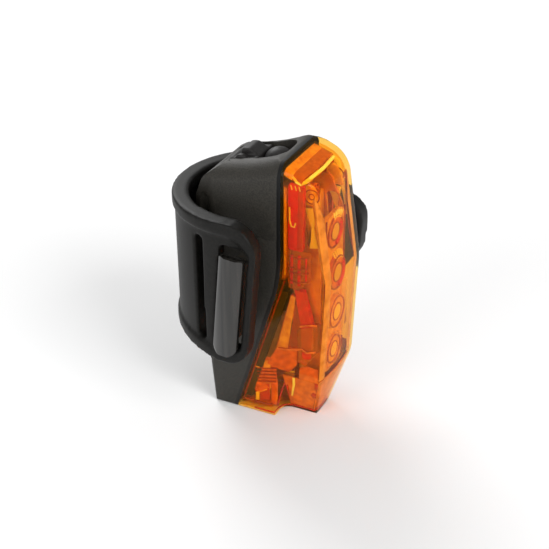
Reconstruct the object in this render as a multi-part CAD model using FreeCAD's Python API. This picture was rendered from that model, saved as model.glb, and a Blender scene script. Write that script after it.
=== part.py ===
# Bicycle tail light with a hooked rubber strap. Millimetres.
# +Z is up the seat post, the lens faces -Y, X = 0 is the plane of symmetry,
# and Z = 0 is the flat bottom that the light can stand on.
import FreeCAD, Part
import math
import os

V = FreeCAD.Vector

FAR = 60.0                 # larger than the light, for cutting tools
SEAM_Y = -6.5              # the upright part of the seam between lens and housing

# Outer skin of lens and housing together
BOTTOM_HALF = 9.7          # half width at the flat bottom
TOP_HALF = 10.8            # half width at the widest height
TOP_Z = 71.4               # seam height at the top
WIDEST_Z = TOP_Z - 15.4
TOP_CORNER_R = 3.6
FRONT_HALF = 9.7           # half width at the front face
REAR_HALF = 10.3
REAR_CORNER_R = 4.5
BULGE_Y = -18.7            # front face at its furthest point, at the side edges
BULGE_Z = 42.0
BROW_Y, BROW_Z = -15.2, TOP_Z - 4.4       # where the front face turns over to the top
TOP_EDGE_Y, TOP_EDGE_Z = -12.0, TOP_Z - 2.1
CHIN_Y, CHIN_Z = -17.3, 13.6       # where the front face turns under
TOE_Y = -12.9              # front of the flat bottom
FRONT_ROLL = 40.0          # how far behind the origin the front face's arc centre lies
REAR_Y = 18.2              # back of the housing
HEEL_Y = 13.5              # back of the flat bottom
ANKLE_Y, ANKLE_Z = 14.7, 12.0      # the back is steep up to here and then slopes out
CALF_Z = 21.0              # where it reaches the back of the housing
LIP_Y, LIP_Z = 2.5, TOP_Z - 2.0   # foot of the rise behind the seam
FRONT_EDGE_R = 1.1         # upright edges of the lens
REAR_Z1 = TOP_Z - 15.4     # top of the upright back
CROWN_Y, CROWN_Z = 15.2, TOP_Z - 7.6      # where the back turns over to the top
SHOULDER_R = 6.5           # round shoulders of the housing behind the seam
SHOULDER_TOP = ((SEAM_Y, TOP_Z + 2.2), (-3.0, TOP_Z + 0.2), (0.0, TOP_Z - 1.0), (2.5, TOP_Z - 1.8),
                (5.5, TOP_Z - 2.6), (FAR, TOP_Z - 2.6 - 0.22 * (FAR - 5.5)))

# Lower front: the lamp column narrows, the two laser pods stay wide
TOE_HALF = 3.8
POD_FRONT_Y = -4.4
POD_INNER_R = 2.6
COLUMN_FLARE = 6.1         # how far the column widens on each side
COLUMN_FLARE_Z = 14.5      # over this height

# Seam between lens and housing
SEAM_KNEE_Z = 40.6
SEAM_FOOT_Y = 6.2
SEAM_KNEE_R = 42.0
GASKET_T = 1.0

LENS_WALL = 1.4
GASKET_WALL = 1.6
HOUSING_WALL = 1.8
FIT = 0.15                 # clearance round seated inner pieces
SKIN_GAP = 0.08            # clearance of a flush inlay

# Channel in the top of the housing, measured square to its sloping floor
TOP_TILT = 10.0
CHANNEL_HALF = 5.2
CHANNEL_Y0 = -5.1
CHANNEL_FLOOR_Z = TOP_Z - 3.3     # floor height under the button's axis
BUTTON_Y = -0.9
CHANNEL_SKIN = 1.6
CHANNEL_END_R = 3.4

# Power button, switch and charging socket
BUTTON_R = 3.2
BUTTON_RISE = 2.7
BUTTON_FLANGE_R = 3.9
BUTTON_FLANGE_T = 0.6
BUTTON_TRAVEL = 0.6
BUTTON_CLEAR = 0.06
BUTTON_CAVITY_R = 2.3
SWITCH_SIZE = 6.0
SWITCH_BODY_H = 2.0
PLUNGER_R = 1.6
PLUNGER_SHOW = 1.0
TOP_BOARD_T = 0.8
SOCKET_U = 6.7             # socket centre behind the button, along the channel
SOCKET_W, SOCKET_D, SOCKET_H = 7.6, 2.7, 3.4
SOCKET_WALL = 0.35
PORT_CLEAR = 0.35
COVER_T = 1.5
COVER_CLEAR = 0.3
COVER_GRIP_H = 3.4
COVER_EAR_H = 2.5
COVER_U0 = 3.6
COVER_HINGE_U, COVER_HINGE_W = 10.2, 0.95
COVER_PIN_R, COVER_PIN_L = 0.5, 0.8
TOP_BOARD_HALF = 7.4
TOP_BOARD_FRONT = -3.2

# Hook plates on both sides
PLATE_Z0, PLATE_Z1 = 18.0, 51.6
PLATE_REAR_Y = 11.5
PLATE_T = 0.95
NECK_W, NECK_H = 3.4, 21.0
BAR_W, BAR_H, BAR_T = 6.2, 27.0, 2.4
BAR_Y = 1.1
BAR_DROP = 1.4             # bar centre below the strap's pivot height
BAR_GAP = 0.2

# Strap, drawn upright and then tilted as a whole
STRAP_TILT = 4.8
STRAP_PIVOT_Y, STRAP_PIVOT_Z = 2.7, 40.0
STRAP_R = 20.4             # centre line of the loop
STRAP_CENTRE_Y = 2.7
STRAP_WEB = 3.0
STRAP_RIM = 4.2
STRAP_RIM_H = 3.0
STRAP_END_RIM = 1.9
STRAP_TOP = 19.8
STRAP_BOTTOM = -18.2
STRAP_BACK_RISE = 3.4      # the band is this much narrower at the back
LOOP_LEAN = -5.8           # the back of the loop leans this much against its ends
NEAR_TIP_Y = -4.4
NEAR_CORNER_R = 7.5
TAIL_TIP_Y = -13.9
TAIL_NOSE_R = 14.0
TAIL_FLARE_R = 30.0
HOOK_SLOT_Y0, HOOK_SLOT_Y1 = -2.5, 5.1
TAIL_SLOT_Y0 = -3.8
TAIL_SLOT_BOTTOM = -15.4
HOOK_SLOT_TOP, HOOK_SLOT_BOTTOM = 13.8, -13.4
LADDER_SLOT_W = 2.7
LADDER_SLOT_TOP = 14.4
LADDER_SLOT_RIM = 3.7      # rubber below a slot
NEAR_LADDER_ANGLE = 70.0   # from the back of the loop
FAR_LADDER_ANGLES = (4.0, 20.0, 36.0, 52.0)
TAIL_JOINT_Y = 9.4         # the free end bends about here
TAIL_JOINT_GAP = 0.35

# Rubber saddle for the seat post
POST_R = 15.9
SADDLE_Y = 16.3
SADDLE_T = 2.0
SADDLE_HALF = 8.2
SADDLE_Z0, SADDLE_Z1 = 17.5, TOP_Z - 18.4
SCOOP_R = 3.0
SCOOP_X, SCOOP_Y = 11.6, 15.2
SCOOP_Z0, SCOOP_Z1 = 20.0, TOP_Z - 13.4

# Lamp frame, boards and battery
FRAME_FRONT = 0.8          # in front of the seam, upper part
FRAME_FRONT_LOW = 2.4      # in front of the seam, slanted part
FRAME_BACK = 1.2
FRAME_Z0, FRAME_Z1 = 3.0, TOP_Z - 6.0
FRAME_STRIP_TOP = 37.0     # the slanted part is thicker below this height
BOARD_T = 1.0
MAIN_HALF = 4.9
MAIN_Z0, MAIN_Z1 = 40.5, TOP_Z - 11.4
MAIN_POST_R = 1.1
MAIN_POST_Z = (MAIN_Z0 + 2.5, MAIN_Z1 - 3.0)
MAIN_STANDOFF = 0.9
CHIP_T = 1.4               # the tallest chip
LED_BOARD_Y = -9.4
LED_BOARD_HALF = 5.4
LED_BOARD_Z0, LED_BOARD_Z1 = 13.0, TOP_Z - 11.4
LED_BELOW, LED_ABOVE = 5.4, 8.3    # board beyond the lowest and the highest LED
LED_PITCH = (LED_BOARD_Z1 - LED_BOARD_Z0 - LED_BELOW - LED_ABOVE) / 3
LED_Z = tuple(LED_BOARD_Z0 + LED_BELOW + LED_PITCH * i for i in range(4))
LED_SCREW_X = 4.0
LED_SCREW_Z = (LED_Z[0] + LED_PITCH / 2, LED_Z[2] + LED_PITCH / 2)
LED_SIZE, LED_T = 3.0, 0.8
OPTIC_R0, OPTIC_R1 = 2.0, 5.3
OPTIC_FRONT_Y = -15.8
OPTIC_PLATE_T = 1.0
OPTIC_AIR = 0.25
SCREW_R, SCREW_HEAD_R, SCREW_HEAD_T = 0.8, 1.5, 0.8
LED_SCREW_GRIP = 2.0
BOSS_R = 1.7
BOSS_X = 7.1
BOSS_Z = (46.0, TOP_Z - 14.4)
BOSS_DEPTH = 5.0
CELL_HALF, CELL_Y0, CELL_DEPTH = 7.5, 0.3, 9.6
CELL_Z0, CELL_Z1 = 24.0, TOP_Z - 13.4
CELL_R = 1.8

# Coloured pieces that show through the lens on each side
RED_X0, RED_X1 = TOP_HALF - 3.2, TOP_HALF - 2.0
RED_Y0, RED_Y1 = -11.6, -7.6
RED_Z0, RED_Z1 = TOP_Z - 22.2, TOP_Z - 4.2
CLIP_Z0, CLIP_Z1 = 38.2, RED_Z0 - 0.3
CLIP_Y0 = -13.4
CLIP_RIBS = 3
LOW_HALF = BOTTOM_HALF + (TOP_HALF - BOTTOM_HALF) * 24.0 / WIDEST_Z    # half width beside the light pipes
LOW_X0, LOW_X1 = LOW_HALF - 2.57, LOW_HALF - 1.37
BRACKET_T = 1.1
BAR_LENS_T = 1.5

# Laser modules in the pods
LASER_R, LASER_LENGTH = 2.9, 9.0
LASER_MOUTH = (5.3, -0.5, 4.9)
LASER_AIM = (0.20, -0.52, -0.83)
LASER_LENS_R, LASER_LENS_T = 1.7, 0.8
COLLAR_T, COLLAR_LENGTH = 0.5, 3.0
DRIVER_HALF, DRIVER_Y, DRIVER_Z0, DRIVER_Z1 = 6.5, 8.6, 4.5, 20.0
LEAD_R = 0.45


def rounded(corners, place):
    """Closed wire through corners (u, v, radius), each corner rounded to its radius."""
    count = len(corners)
    runs = []
    for i in range(count):
        u, v, radius = corners[i]
        pu, pv, _ = corners[i - 1]
        nu, nv, _ = corners[(i + 1) % count]
        back = math.hypot(pu - u, pv - v)
        ahead = math.hypot(nu - u, nv - v)
        bu, bv = (pu - u) / back, (pv - v) / back
        au, av = (nu - u) / ahead, (nv - v) / ahead
        half = math.acos(max(-1.0, min(1.0, bu * au + bv * av))) / 2
        if radius <= 0 or half > math.pi / 2 - 1e-6:
            runs.append(((u, v), None, (u, v)))
            continue
        reach = radius / math.tan(half)
        mu, mv = bu + au, bv + av
        size = math.hypot(mu, mv)
        middle = radius / math.sin(half) - radius
        runs.append((
            (u + bu * reach, v + bv * reach),
            (u + mu / size * middle, v + mv / size * middle),
            (u + au * reach, v + av * reach),
        ))
    edges = []
    for i in range(count):
        start, middle, end = runs[i]
        following = runs[(i + 1) % count][0]
        if middle is not None:
            edges.append(Part.Arc(place(*start), place(*middle), place(*end)).toShape())
        if math.hypot(following[0] - end[0], following[1] - end[1]) > 1e-5:
            edges.append(Part.LineSegment(place(*end), place(*following)).toShape())
    return Part.Wire(edges)


def side_face(corners, inset=0.0):
    """Face in the YZ plane from corners (y, z, radius)."""
    return shrink(Part.Face(rounded(corners, lambda y, z: V(0, y, z))), inset)


def front_face(corners, inset=0.0):
    """Face in the XZ plane from corners (x, z, radius)."""
    return shrink(Part.Face(rounded(corners, lambda x, z: V(x, 0, z))), inset)


def plan_face(corners, inset=0.0):
    """Face in the XY plane from corners (x, y, radius)."""
    return shrink(Part.Face(rounded(corners, lambda x, y: V(x, y, 0))), inset)


def shrink(face, inset):
    if abs(inset) < 1e-9:
        return face
    return face.makeOffset2D(-inset, 0, False, False, False)


def across(face, x0, x1):
    """Extrudes a YZ face from x0 to x1."""
    return face.translated(V(x0, 0, 0)).extrude(V(x1 - x0, 0, 0))


def along(face, y0, y1):
    """Extrudes an XZ face from y0 to y1."""
    return face.translated(V(0, y0, 0)).extrude(V(0, y1 - y0, 0))


def up(face, z0, z1):
    """Extrudes an XY face from z0 to z1."""
    return face.translated(V(0, 0, z0)).extrude(V(0, 0, z1 - z0))


def block(x0, x1, y0, y1, z0, z1):
    return Part.makeBox(x1 - x0, y1 - y0, z1 - z0, V(x0, y0, z0))


def mirrored(shape):
    return shape.mirror(V(0, 0, 0), V(1, 0, 0))


def solid(shape):
    """The largest solid of a shape, cleaned."""
    best = max(shape.Solids, key=lambda s: s.Volume)
    return best.removeSplitter()


def seam_y(z):
    """Seam position at height z, without the rounding of its knee."""
    if z >= SEAM_KNEE_Z:
        return SEAM_Y
    return SEAM_FOOT_Y + (SEAM_Y - SEAM_FOOT_Y) * z / SEAM_KNEE_Z


def ahead_of_seam(shift=0.0):
    """Everything in front of the seam moved by shift along Y, as a slab across the light."""
    foot_z = -5.0
    corners = [
        (-FAR, foot_z, 0),
        (seam_y(foot_z) + shift, foot_z, 0),
        (SEAM_Y + shift, SEAM_KNEE_Z, SEAM_KNEE_R),
        (SEAM_Y + shift, FAR * 2, 0),
        (-FAR, FAR * 2, 0),
    ]
    return across(side_face(corners), -FAR, FAR)


def column_cut(inset):
    """What is cut away beside the lamp column, from the toe up to the pods' shoulders."""
    corners = [
        (TOE_HALF, -FAR, 0),
        (TOE_HALF, POD_FRONT_Y, POD_INNER_R),
        (FAR, POD_FRONT_Y, 0),
        (FAR, -FAR, 0),
    ]
    face = plan_face(corners, -inset)
    lean = V(COLUMN_FLARE, 0, COLUMN_FLARE_Z)
    start = face.translated(lean * -0.5)
    right = start.extrude(lean * 2.5)
    return right.fuse(mirrored(right))


def shoulder_cut(inset):
    """What is cut away beside the top of the housing, along a line that falls behind the seam."""
    x = TOP_HALF + 0.1 - SHOULDER_R
    radius = SHOULDER_R - inset
    slope = math.sqrt(0.5)
    cut = None
    for (y0, z0), (y1, z1) in zip(SHOULDER_TOP, SHOULDER_TOP[1:]):
        low = z0 - SHOULDER_R
        arc = Part.Arc(V(x, y0, low + radius), V(x + radius * slope, y0, low + radius * slope),
                       V(x + radius, y0, low)).toShape()
        corners = [V(x + radius, y0, low), V(FAR, y0, low), V(FAR, y0, low + FAR), V(x, y0, low + FAR),
                   V(x, y0, low + radius)]
        edges = [Part.LineSegment(a, b).toShape() for a, b in zip(corners, corners[1:])]
        piece = Part.Face(Part.Wire([arc] + edges)).extrude(V(0, y1 - y0, z1 - z0))
        cut = piece if cut is None else cut.fuse(piece)
    return cut.fuse(mirrored(cut))


def envelope(inset=0.0):
    """The outer skin of the whole light, or the same skin moved inwards."""
    roll = FRONT_ROLL - math.sqrt((FRONT_ROLL - BULGE_Y) ** 2 - FRONT_HALF ** 2) - BULGE_Y
    chin_slope = (TOE_Y - CHIN_Y) / CHIN_Z
    front = side_face([
        (TOE_Y + 6 * chin_slope - roll, -6, 0),
        (FRONT_ROLL - 5, -6, 0),
        (FRONT_ROLL - 5, TOP_Z + 12, 0),
        (SEAM_Y, TOP_Z + 12, 0),
        (SEAM_Y - roll, TOP_Z + 0.1, 0),
        (TOP_EDGE_Y - roll, TOP_EDGE_Z, 2.5),
        (BROW_Y - roll, BROW_Z, 7.5),
        (BULGE_Y - roll, BULGE_Z, 20.0),
        (CHIN_Y - roll, CHIN_Z, 12.0),
    ], inset)
    axis = V(0, FRONT_ROLL, 0)
    face = front.rotated(axis, V(0, 0, 1), -20)
    front_part = face.revolve(axis, V(0, 0, 1), 40)
    side = side_face([
        (-FAR, 0, 0),
        (HEEL_Y, 0, 2.0),
        (ANKLE_Y, ANKLE_Z, 6.0),
        (REAR_Y - 0.2, CALF_Z, 10.0),
        (REAR_Y, REAR_Z1, 10.0),
        (CROWN_Y, CROWN_Z, 7.0),
        (8.6, LIP_Z - 0.7, 6.0),
        (LIP_Y, LIP_Z, 4.0),
        (SEAM_Y + 2.6, TOP_Z + 0.1, 3.0),
        (SEAM_Y - 0.2, TOP_Z + 0.3, 0),
        (SEAM_Y - 0.2, TOP_Z + 8, 0),
        (-FAR, TOP_Z + 8, 0),
    ], inset)
    front_view = front_face([
        (-BOTTOM_HALF, 0, 0.7),
        (BOTTOM_HALF, 0, 0.7),
        (TOP_HALF, WIDEST_Z, 60.0),
        (TOP_HALF - 0.1, TOP_Z + 0.3, TOP_CORNER_R),
        (-TOP_HALF + 0.1, TOP_Z + 0.3, TOP_CORNER_R),
        (-TOP_HALF, WIDEST_Z, 60.0),
    ], inset)
    plan = plan_face([
        (-FRONT_HALF, BULGE_Y - 4, 0),
        (FRONT_HALF, BULGE_Y - 4, 0),
        (FRONT_HALF + 0.02, BULGE_Y, 0),
        (TOP_HALF, SEAM_Y, 12.0),
        (REAR_HALF, REAR_Y, REAR_CORNER_R),
        (-REAR_HALF, REAR_Y, REAR_CORNER_R),
        (-TOP_HALF, SEAM_Y, 12.0),
        (-FRONT_HALF - 0.02, BULGE_Y, 0),
    ], inset)
    section = plan_face([
        (-TOP_HALF - 1, -FAR, 0),
        (TOP_HALF + 1, -FAR, 0),
        (TOP_HALF + 1, ANKLE_Y - 12, 0),
        (REAR_HALF, ANKLE_Y + 0.1, REAR_CORNER_R),
        (-REAR_HALF, ANKLE_Y + 0.1, REAR_CORNER_R),
        (-TOP_HALF - 1, ANKLE_Y - 12, 0),
    ], inset).translated(V(0, 0, ANKLE_Z))
    steep = V(0, HEEL_Y - ANKLE_Y, -ANKLE_Z)
    sloping = V(0, REAR_Y - ANKLE_Y, CALF_Z - ANKLE_Z)
    heel = section.extrude(steep * 1.5).fuse(section.extrude(sloping * 10))
    shape = across(side, -FAR, FAR).common(along(front_view, -FAR, FAR))
    shape = shape.common(up(plan, -5, TOP_Z + 20)).common(heel)
    shape = shape.common(front_part)
    shape = shape.cut(column_cut(inset)).cut(shoulder_cut(inset))
    return solid(shape)


def save(name, *shapes):
    """Writes one node, a single solid or a group of separate ones."""
    pieces = [piece for shape in shapes for piece in shape.Solids]
    result = pieces[0] if len(pieces) == 1 else Part.Compound(pieces)
    if not result.isValid():
        print("not valid:", name)
    result.exportStep("parts/" + name + ".step")


def save_pair(name, shape):
    save(name + "_right", shape)
    save(name + "_left", mirrored(shape))


def on_top(shape):
    """Places a piece drawn round the button's axis, +Y along the channel and +Z square to its floor."""
    turned = shape.rotated(V(0, 0, 0), V(1, 0, 0), -TOP_TILT)
    return turned.translated(V(0, BUTTON_Y, CHANNEL_FLOOR_Z))


def on_strap(shape):
    """Tilts a piece drawn upright with the strap, Z measured from the strap's pivot."""
    raised = shape.translated(V(0, 0, STRAP_PIVOT_Z))
    return raised.rotated(V(0, STRAP_PIVOT_Y, STRAP_PIVOT_Z), V(1, 0, 0), STRAP_TILT)


def rod(start, end, radius):
    a, b = V(*start), V(*end)
    return Part.makeCylinder(radius, (b - a).Length, a, b - a)


def tube(points, radius):
    """Tube along straight runs joined by tangent arcs."""
    path = [V(*p) for p in points]
    edges = []
    last = path[0]
    for i in range(1, len(path) - 1):
        back = (path[i - 1] - path[i])
        ahead = (path[i + 1] - path[i])
        reach = 0.45 * min(back.Length, ahead.Length)
        back.normalize()
        ahead.normalize()
        start = path[i] + back * reach
        end = path[i] + ahead * reach
        half = back.getAngle(ahead) / 2
        bisector = (back + ahead).normalize()
        bend = reach * math.tan(half)
        middle = path[i] + bisector * (bend / math.sin(half) - bend)
        edges.append(Part.LineSegment(last, start).toShape())
        edges.append(Part.Arc(start, middle, end).toShape())
        last = end
    edges.append(Part.LineSegment(last, path[-1]).toShape())
    ring = Part.Wire(Part.makeCircle(radius, path[0], path[1] - path[0]))
    return Part.Wire(edges).makePipeShell([ring], True, False)


def channel(grow=0.0, depth=0.0):
    """The channel in the top, widened by grow and deepened by depth."""
    front = CHANNEL_Y0 - BUTTON_Y
    half = CHANNEL_HALF + grow
    face = plan_face([
        (-half, front - grow, CHANNEL_END_R + grow),
        (half, front - grow, CHANNEL_END_R + grow),
        (half, FAR, 0),
        (-half, FAR, 0),
    ])
    return on_top(up(face, -depth, 14.0))


def post(radius, grow=0.0):
    """Seat post of the given radius behind the light, over the saddle's height."""
    low = SADDLE_Z0 - grow
    tall = SADDLE_Z1 - SADDLE_Z0 + 2 * grow
    return Part.makeCylinder(radius, tall, V(0, SADDLE_Y + POST_R, low))


def saddle_slab(grow):
    half = SADDLE_HALF + grow
    return block(-half, half, 0, SADDLE_Y + POST_R, SADDLE_Z0 - grow, SADDLE_Z1 + grow)


def scoops(grow=0.0):
    """Upright hollows at the housing's rear corners, rounded at both ends."""
    radius = SCOOP_R + grow
    low = V(SCOOP_X, SCOOP_Y, SCOOP_Z0)
    high = V(SCOOP_X, SCOOP_Y, SCOOP_Z1)
    shape = Part.makeCylinder(radius, SCOOP_Z1 - SCOOP_Z0, low)
    shape = shape.fuse(Part.makeSphere(radius, low)).fuse(Part.makeSphere(radius, high))
    return shape.fuse(mirrored(shape))


def plate_prism(grow=0.0):
    """Side area of the right hook plate, grown by a clearance, as a bar across X."""
    corners = [
        (PLATE_REAR_Y, PLATE_Z0, 1.5),
        (PLATE_REAR_Y, PLATE_Z1, 1.5),
        (-FAR, PLATE_Z1, 0),
        (-FAR, PLATE_Z0, 0),
    ]
    return across(side_face(corners, -grow), TOP_HALF / 2, FAR)


def laser_axis(distance):
    """Point on the right laser's axis, measured back from its mouth."""
    return tuple(m - a * distance for m, a in zip(LASER_MOUTH, LASER_AIM))


def make_housing():
    outer = envelope(0.0).cut(ahead_of_seam(GASKET_T))
    cavity = envelope(HOUSING_WALL)
    cavity = cavity.cut(channel(CHANNEL_SKIN, CHANNEL_SKIN))
    cavity = cavity.cut(post(POST_R + SADDLE_T + HOUSING_WALL, HOUSING_WALL))
    cavity = cavity.cut(scoops(HOUSING_WALL))
    shell = outer.cut(cavity).cut(channel())
    shell = shell.cut(post(POST_R + SADDLE_T, SKIN_GAP).common(saddle_slab(SKIN_GAP)))
    shell = shell.cut(scoops())
    root = HOUSING_WALL - 0.3
    inside = envelope(root).cut(ahead_of_seam(FRAME_BACK))
    inside = inside.cut(channel(CHANNEL_SKIN / 2, CHANNEL_SKIN / 2))
    inside = inside.cut(post(POST_R + SADDLE_T + root, root))
    inside = inside.cut(scoops(root))
    extras = []
    for z in BOSS_Z:
        back = SEAM_Y + FRAME_BACK
        boss = rod((BOSS_X, back, z), (BOSS_X, back + BOSS_DEPTH, z), BOSS_R)
        wall = block(BOSS_X, FAR, back, back + BOSS_DEPTH, z - BOSS_R, z + BOSS_R)
        extras += [boss, wall.cut(envelope(HOUSING_WALL - 0.2))]
        extras.append(block(BOSS_X, TOP_HALF - 1, back, back + BOSS_DEPTH, z - 0.8, z + 0.8))
    for z in (DRIVER_Z0 + 3.5, DRIVER_Z1 - 3.0):
        extras.append(rod((DRIVER_HALF - 1.8, DRIVER_Y + TOP_BOARD_T, z), (DRIVER_HALF - 1.8, REAR_Y, z), 1.2))
    rail_w = -CHANNEL_SKIN - rail_drop() - TOP_BOARD_T
    rail = block(TOP_BOARD_HALF - 0.7, FAR, 0, 9, rail_w - 1.0, rail_w)
    extras.append(on_top(rail))
    extras.append(block(0, FAR, CELL_Y0 + CELL_DEPTH - 3, REAR_Y, CELL_Z0 - 1.2, CELL_Z0 - 0.1))
    for extra in extras:
        for piece in (extra, mirrored(extra)):
            piece = piece.common(inside)
            if piece.Solids:
                shell = shell.fuse(piece)
    for z in BOSS_Z:
        back = SEAM_Y + FRAME_BACK
        hole = rod((BOSS_X, back - 1, z), (BOSS_X, back + BOSS_DEPTH - 0.6, z), SCREW_R + 0.02)
        shell = shell.cut(hole).cut(mirrored(hole))
    shell = shell.cut(on_top(rod((0, 0, -FAR / 4), (0, 0, 2), BUTTON_R + BUTTON_CLEAR)
                             .common(block(-9, 9, -9, 9, -CHANNEL_SKIN - 0.5, 2))))
    port_x = SOCKET_W / 2 + PORT_CLEAR
    port_y = SOCKET_D / 2 + PORT_CLEAR
    shell = shell.cut(on_top(block(-port_x, port_x, SOCKET_U - port_y, SOCKET_U + port_y,
                                   -CHANNEL_SKIN - 0.5, 1)))
    pin = hinge_pin(BUTTON_CLEAR)
    shell = shell.cut(on_top(pin)).cut(on_top(mirrored(pin)))
    pocket = plate_prism(SKIN_GAP).cut(envelope(PLATE_T + SKIN_GAP))
    shell = shell.cut(pocket).cut(mirrored(pocket))
    return solid(shell)


def rail_drop():
    """From the channel's skin down to the top board."""
    return BUTTON_FLANGE_T + 0.05 + BUTTON_TRAVEL + 0.15 + SWITCH_BODY_H


def hinge_pin(grow=0.0):
    """Right trunnion of the socket cover, in the channel's own frame."""
    start = CHANNEL_HALF - COVER_CLEAR - 0.5
    end = CHANNEL_HALF + COVER_PIN_L + grow
    return rod((start, COVER_HINGE_U, COVER_HINGE_W), (end, COVER_HINGE_U, COVER_HINGE_W), COVER_PIN_R + grow)


def make_lens():
    shape = envelope(0.0).common(ahead_of_seam(0.0))
    edges = []
    for edge in shape.Edges:
        middle = edge.CenterOfMass
        upright = edge.BoundBox.ZMax - edge.BoundBox.ZMin > 0.9
        if upright and middle.y < TOE_Y and abs(middle.x) > 9 and CHIN_Z + 0.5 < middle.z < BROW_Z:
            edges.append(edge)
    shape = shape.makeFillet(FRONT_EDGE_R, edges)
    shape = shape.cut(envelope(LENS_WALL))
    return solid(shape)


def make_gasket():
    ring = envelope(0.0).common(ahead_of_seam(GASKET_T)).cut(ahead_of_seam(0.0))
    return solid(ring.cut(envelope(GASKET_WALL)))


def make_saddle():
    pad = post(POST_R + SADDLE_T).cut(post(POST_R, 1.0)).common(saddle_slab(0.0))
    return solid(pad)


def bar_x():
    """Inner face of the hook bars, just outside the strap."""
    return STRAP_R + STRAP_WEB / 2 + BAR_GAP


def bar_outline(grow=0.0):
    """Side outline of a hook bar in the strap's frame."""
    half = BAR_W / 2
    low, high = -BAR_DROP - BAR_H / 2, -BAR_DROP + BAR_H / 2
    return side_face([
        (BAR_Y - half, low, BAR_W * 0.4),
        (BAR_Y + half, low, BAR_W * 0.4),
        (BAR_Y + half, high, 0.5),
        (BAR_Y - half, high, 0.5),
    ], -grow)


def bar_relief():
    """Space for the right hook bar where it lies on the strap, cut out of the strap's bead."""
    return across(bar_outline(BAR_GAP), STRAP_R + STRAP_WEB / 2, FAR)


def make_hook():
    """Right hook plate with its neck and upright bar in one piece."""
    inner, outer = bar_x(), bar_x() + BAR_T
    half = BAR_W / 2
    section = plan_face([
        (inner, BAR_Y - half, 0.3),
        (outer - BAR_T * 0.4, BAR_Y - half, 0),
        (outer, BAR_Y - half * 0.45, 0),
        (outer, BAR_Y + half * 0.45, 0),
        (outer - BAR_T * 0.4, BAR_Y + half, 0),
        (inner, BAR_Y + half, 0.3),
    ])
    bar = up(section, -FAR, FAR).common(across(bar_outline(), inner - 1, outer + 1))
    neck = block(TOP_HALF / 2, inner + 0.5, BAR_Y - NECK_W / 2, BAR_Y + NECK_W / 2,
                 -BAR_DROP - NECK_H / 2, -BAR_DROP + NECK_H / 2)
    plate = envelope(0.0).common(plate_prism())
    hook = plate.fuse(on_strap(neck)).cut(ahead_of_seam(GASKET_T + SKIN_GAP))
    hook = hook.cut(envelope(PLATE_T))
    return solid(hook.fuse(on_strap(bar)))


def loop_ring(half):
    """Plan of the back of the strap's loop, half thick each way from its centre line."""
    centre = V(0, STRAP_CENTRE_Y, 0)
    outer = Part.Face(Part.Wire(Part.makeCircle(STRAP_R + half, centre)))
    inner = Part.Face(Part.Wire(Part.makeCircle(STRAP_R - half, centre)))
    start = STRAP_CENTRE_Y - 2.2
    back = plan_face([(-FAR, start, 0), (FAR, start, 0), (FAR, FAR, 0), (-FAR, FAR, 0)])
    return outer.cut(inner).common(back).Faces


def loop_end(side, half, front_y):
    """Plan of the straight end of the strap on one side."""
    x = side * STRAP_R
    end = STRAP_CENTRE_Y + 0.5
    return plan_face([(x - half, front_y, 0), (x + half, front_y, 0), (x + half, end, 0), (x - half, end, 0)])


def lean(shape):
    """Leans the back of the loop against its ends, about the line through its centre."""
    return shape.rotated(V(0, STRAP_CENTRE_Y, 0), V(1, 0, 0), LOOP_LEAN)


def band_bottom(y):
    """Lower edge of the strap at a place behind its straight ends."""
    start = STRAP_CENTRE_Y + 3
    return STRAP_BOTTOM + max(0.0, y - start) * STRAP_BACK_RISE / STRAP_R


def strap_outline(tip_y, corner_r, rim=0.0, tip_in=0.0):
    """Side outline of the strap's near end and loop."""
    return side_face([
        (tip_y + tip_in, STRAP_TOP - rim, corner_r - rim / 2),
        (tip_y + tip_in, STRAP_BOTTOM + rim, corner_r * 0.75 - rim / 2),
        (STRAP_CENTRE_Y + 3, STRAP_BOTTOM + rim, 10.0),
        (FAR, band_bottom(FAR) + rim, 0),
        (FAR, STRAP_TOP - rim, 0),
    ])


def tail_outline(rim=0.0, tip_in=0.0):
    """Side outline of the strap's free end with its rounded finger tab."""
    nose = TAIL_TIP_Y + tip_in
    return side_face([
        (STRAP_CENTRE_Y + 3, STRAP_TOP - rim, 6.0),
        (nose, STRAP_TOP * 0.45 - rim / 2, TAIL_NOSE_R * 0.6),
        (nose, STRAP_BOTTOM * 0.2 + rim / 2, TAIL_NOSE_R * 0.5),
        (TAIL_SLOT_Y0 - 2.0 + rim / 2, STRAP_BOTTOM + rim, 5.0),
        (FAR, STRAP_BOTTOM + rim, 0),
        (FAR, STRAP_TOP - rim, 0),
    ])


def raise_plan(faces):
    """Bar of the given plan, taller than the strap."""
    bars = [up(face, STRAP_BOTTOM - 5, STRAP_TOP + 5) for face in faces]
    result = bars[0]
    for bar in bars[1:]:
        result = result.fuse(bar)
    return result


def ladder_slot(angle):
    """Slot through the loop at an angle from its back, positive towards -X."""
    half = LADDER_SLOT_W / 2
    y = STRAP_CENTRE_Y + STRAP_R * math.cos(math.radians(angle))
    low = band_bottom(y) + LADDER_SLOT_RIM
    corners = [
        (-half, low, half * 0.8),
        (half, low, half * 0.8),
        (half, LADDER_SLOT_TOP, half * 0.8),
        (-half, LADDER_SLOT_TOP, half * 0.8),
    ]
    middle = STRAP_CENTRE_Y + STRAP_R
    slot = along(front_face(corners), middle - STRAP_RIM, middle + STRAP_RIM)
    return slot.rotated(V(0, STRAP_CENTRE_Y, 0), V(0, 0, 1), angle)


def hook_slot(x0, x1, y0, bottom):
    corners = [
        (y0, bottom, 1.2),
        (HOOK_SLOT_Y1, bottom, 1.2),
        (HOOK_SLOT_Y1, HOOK_SLOT_TOP, 1.2),
        (y0, HOOK_SLOT_TOP, 1.2),
    ]
    return across(side_face(corners), x0, x1)


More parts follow.
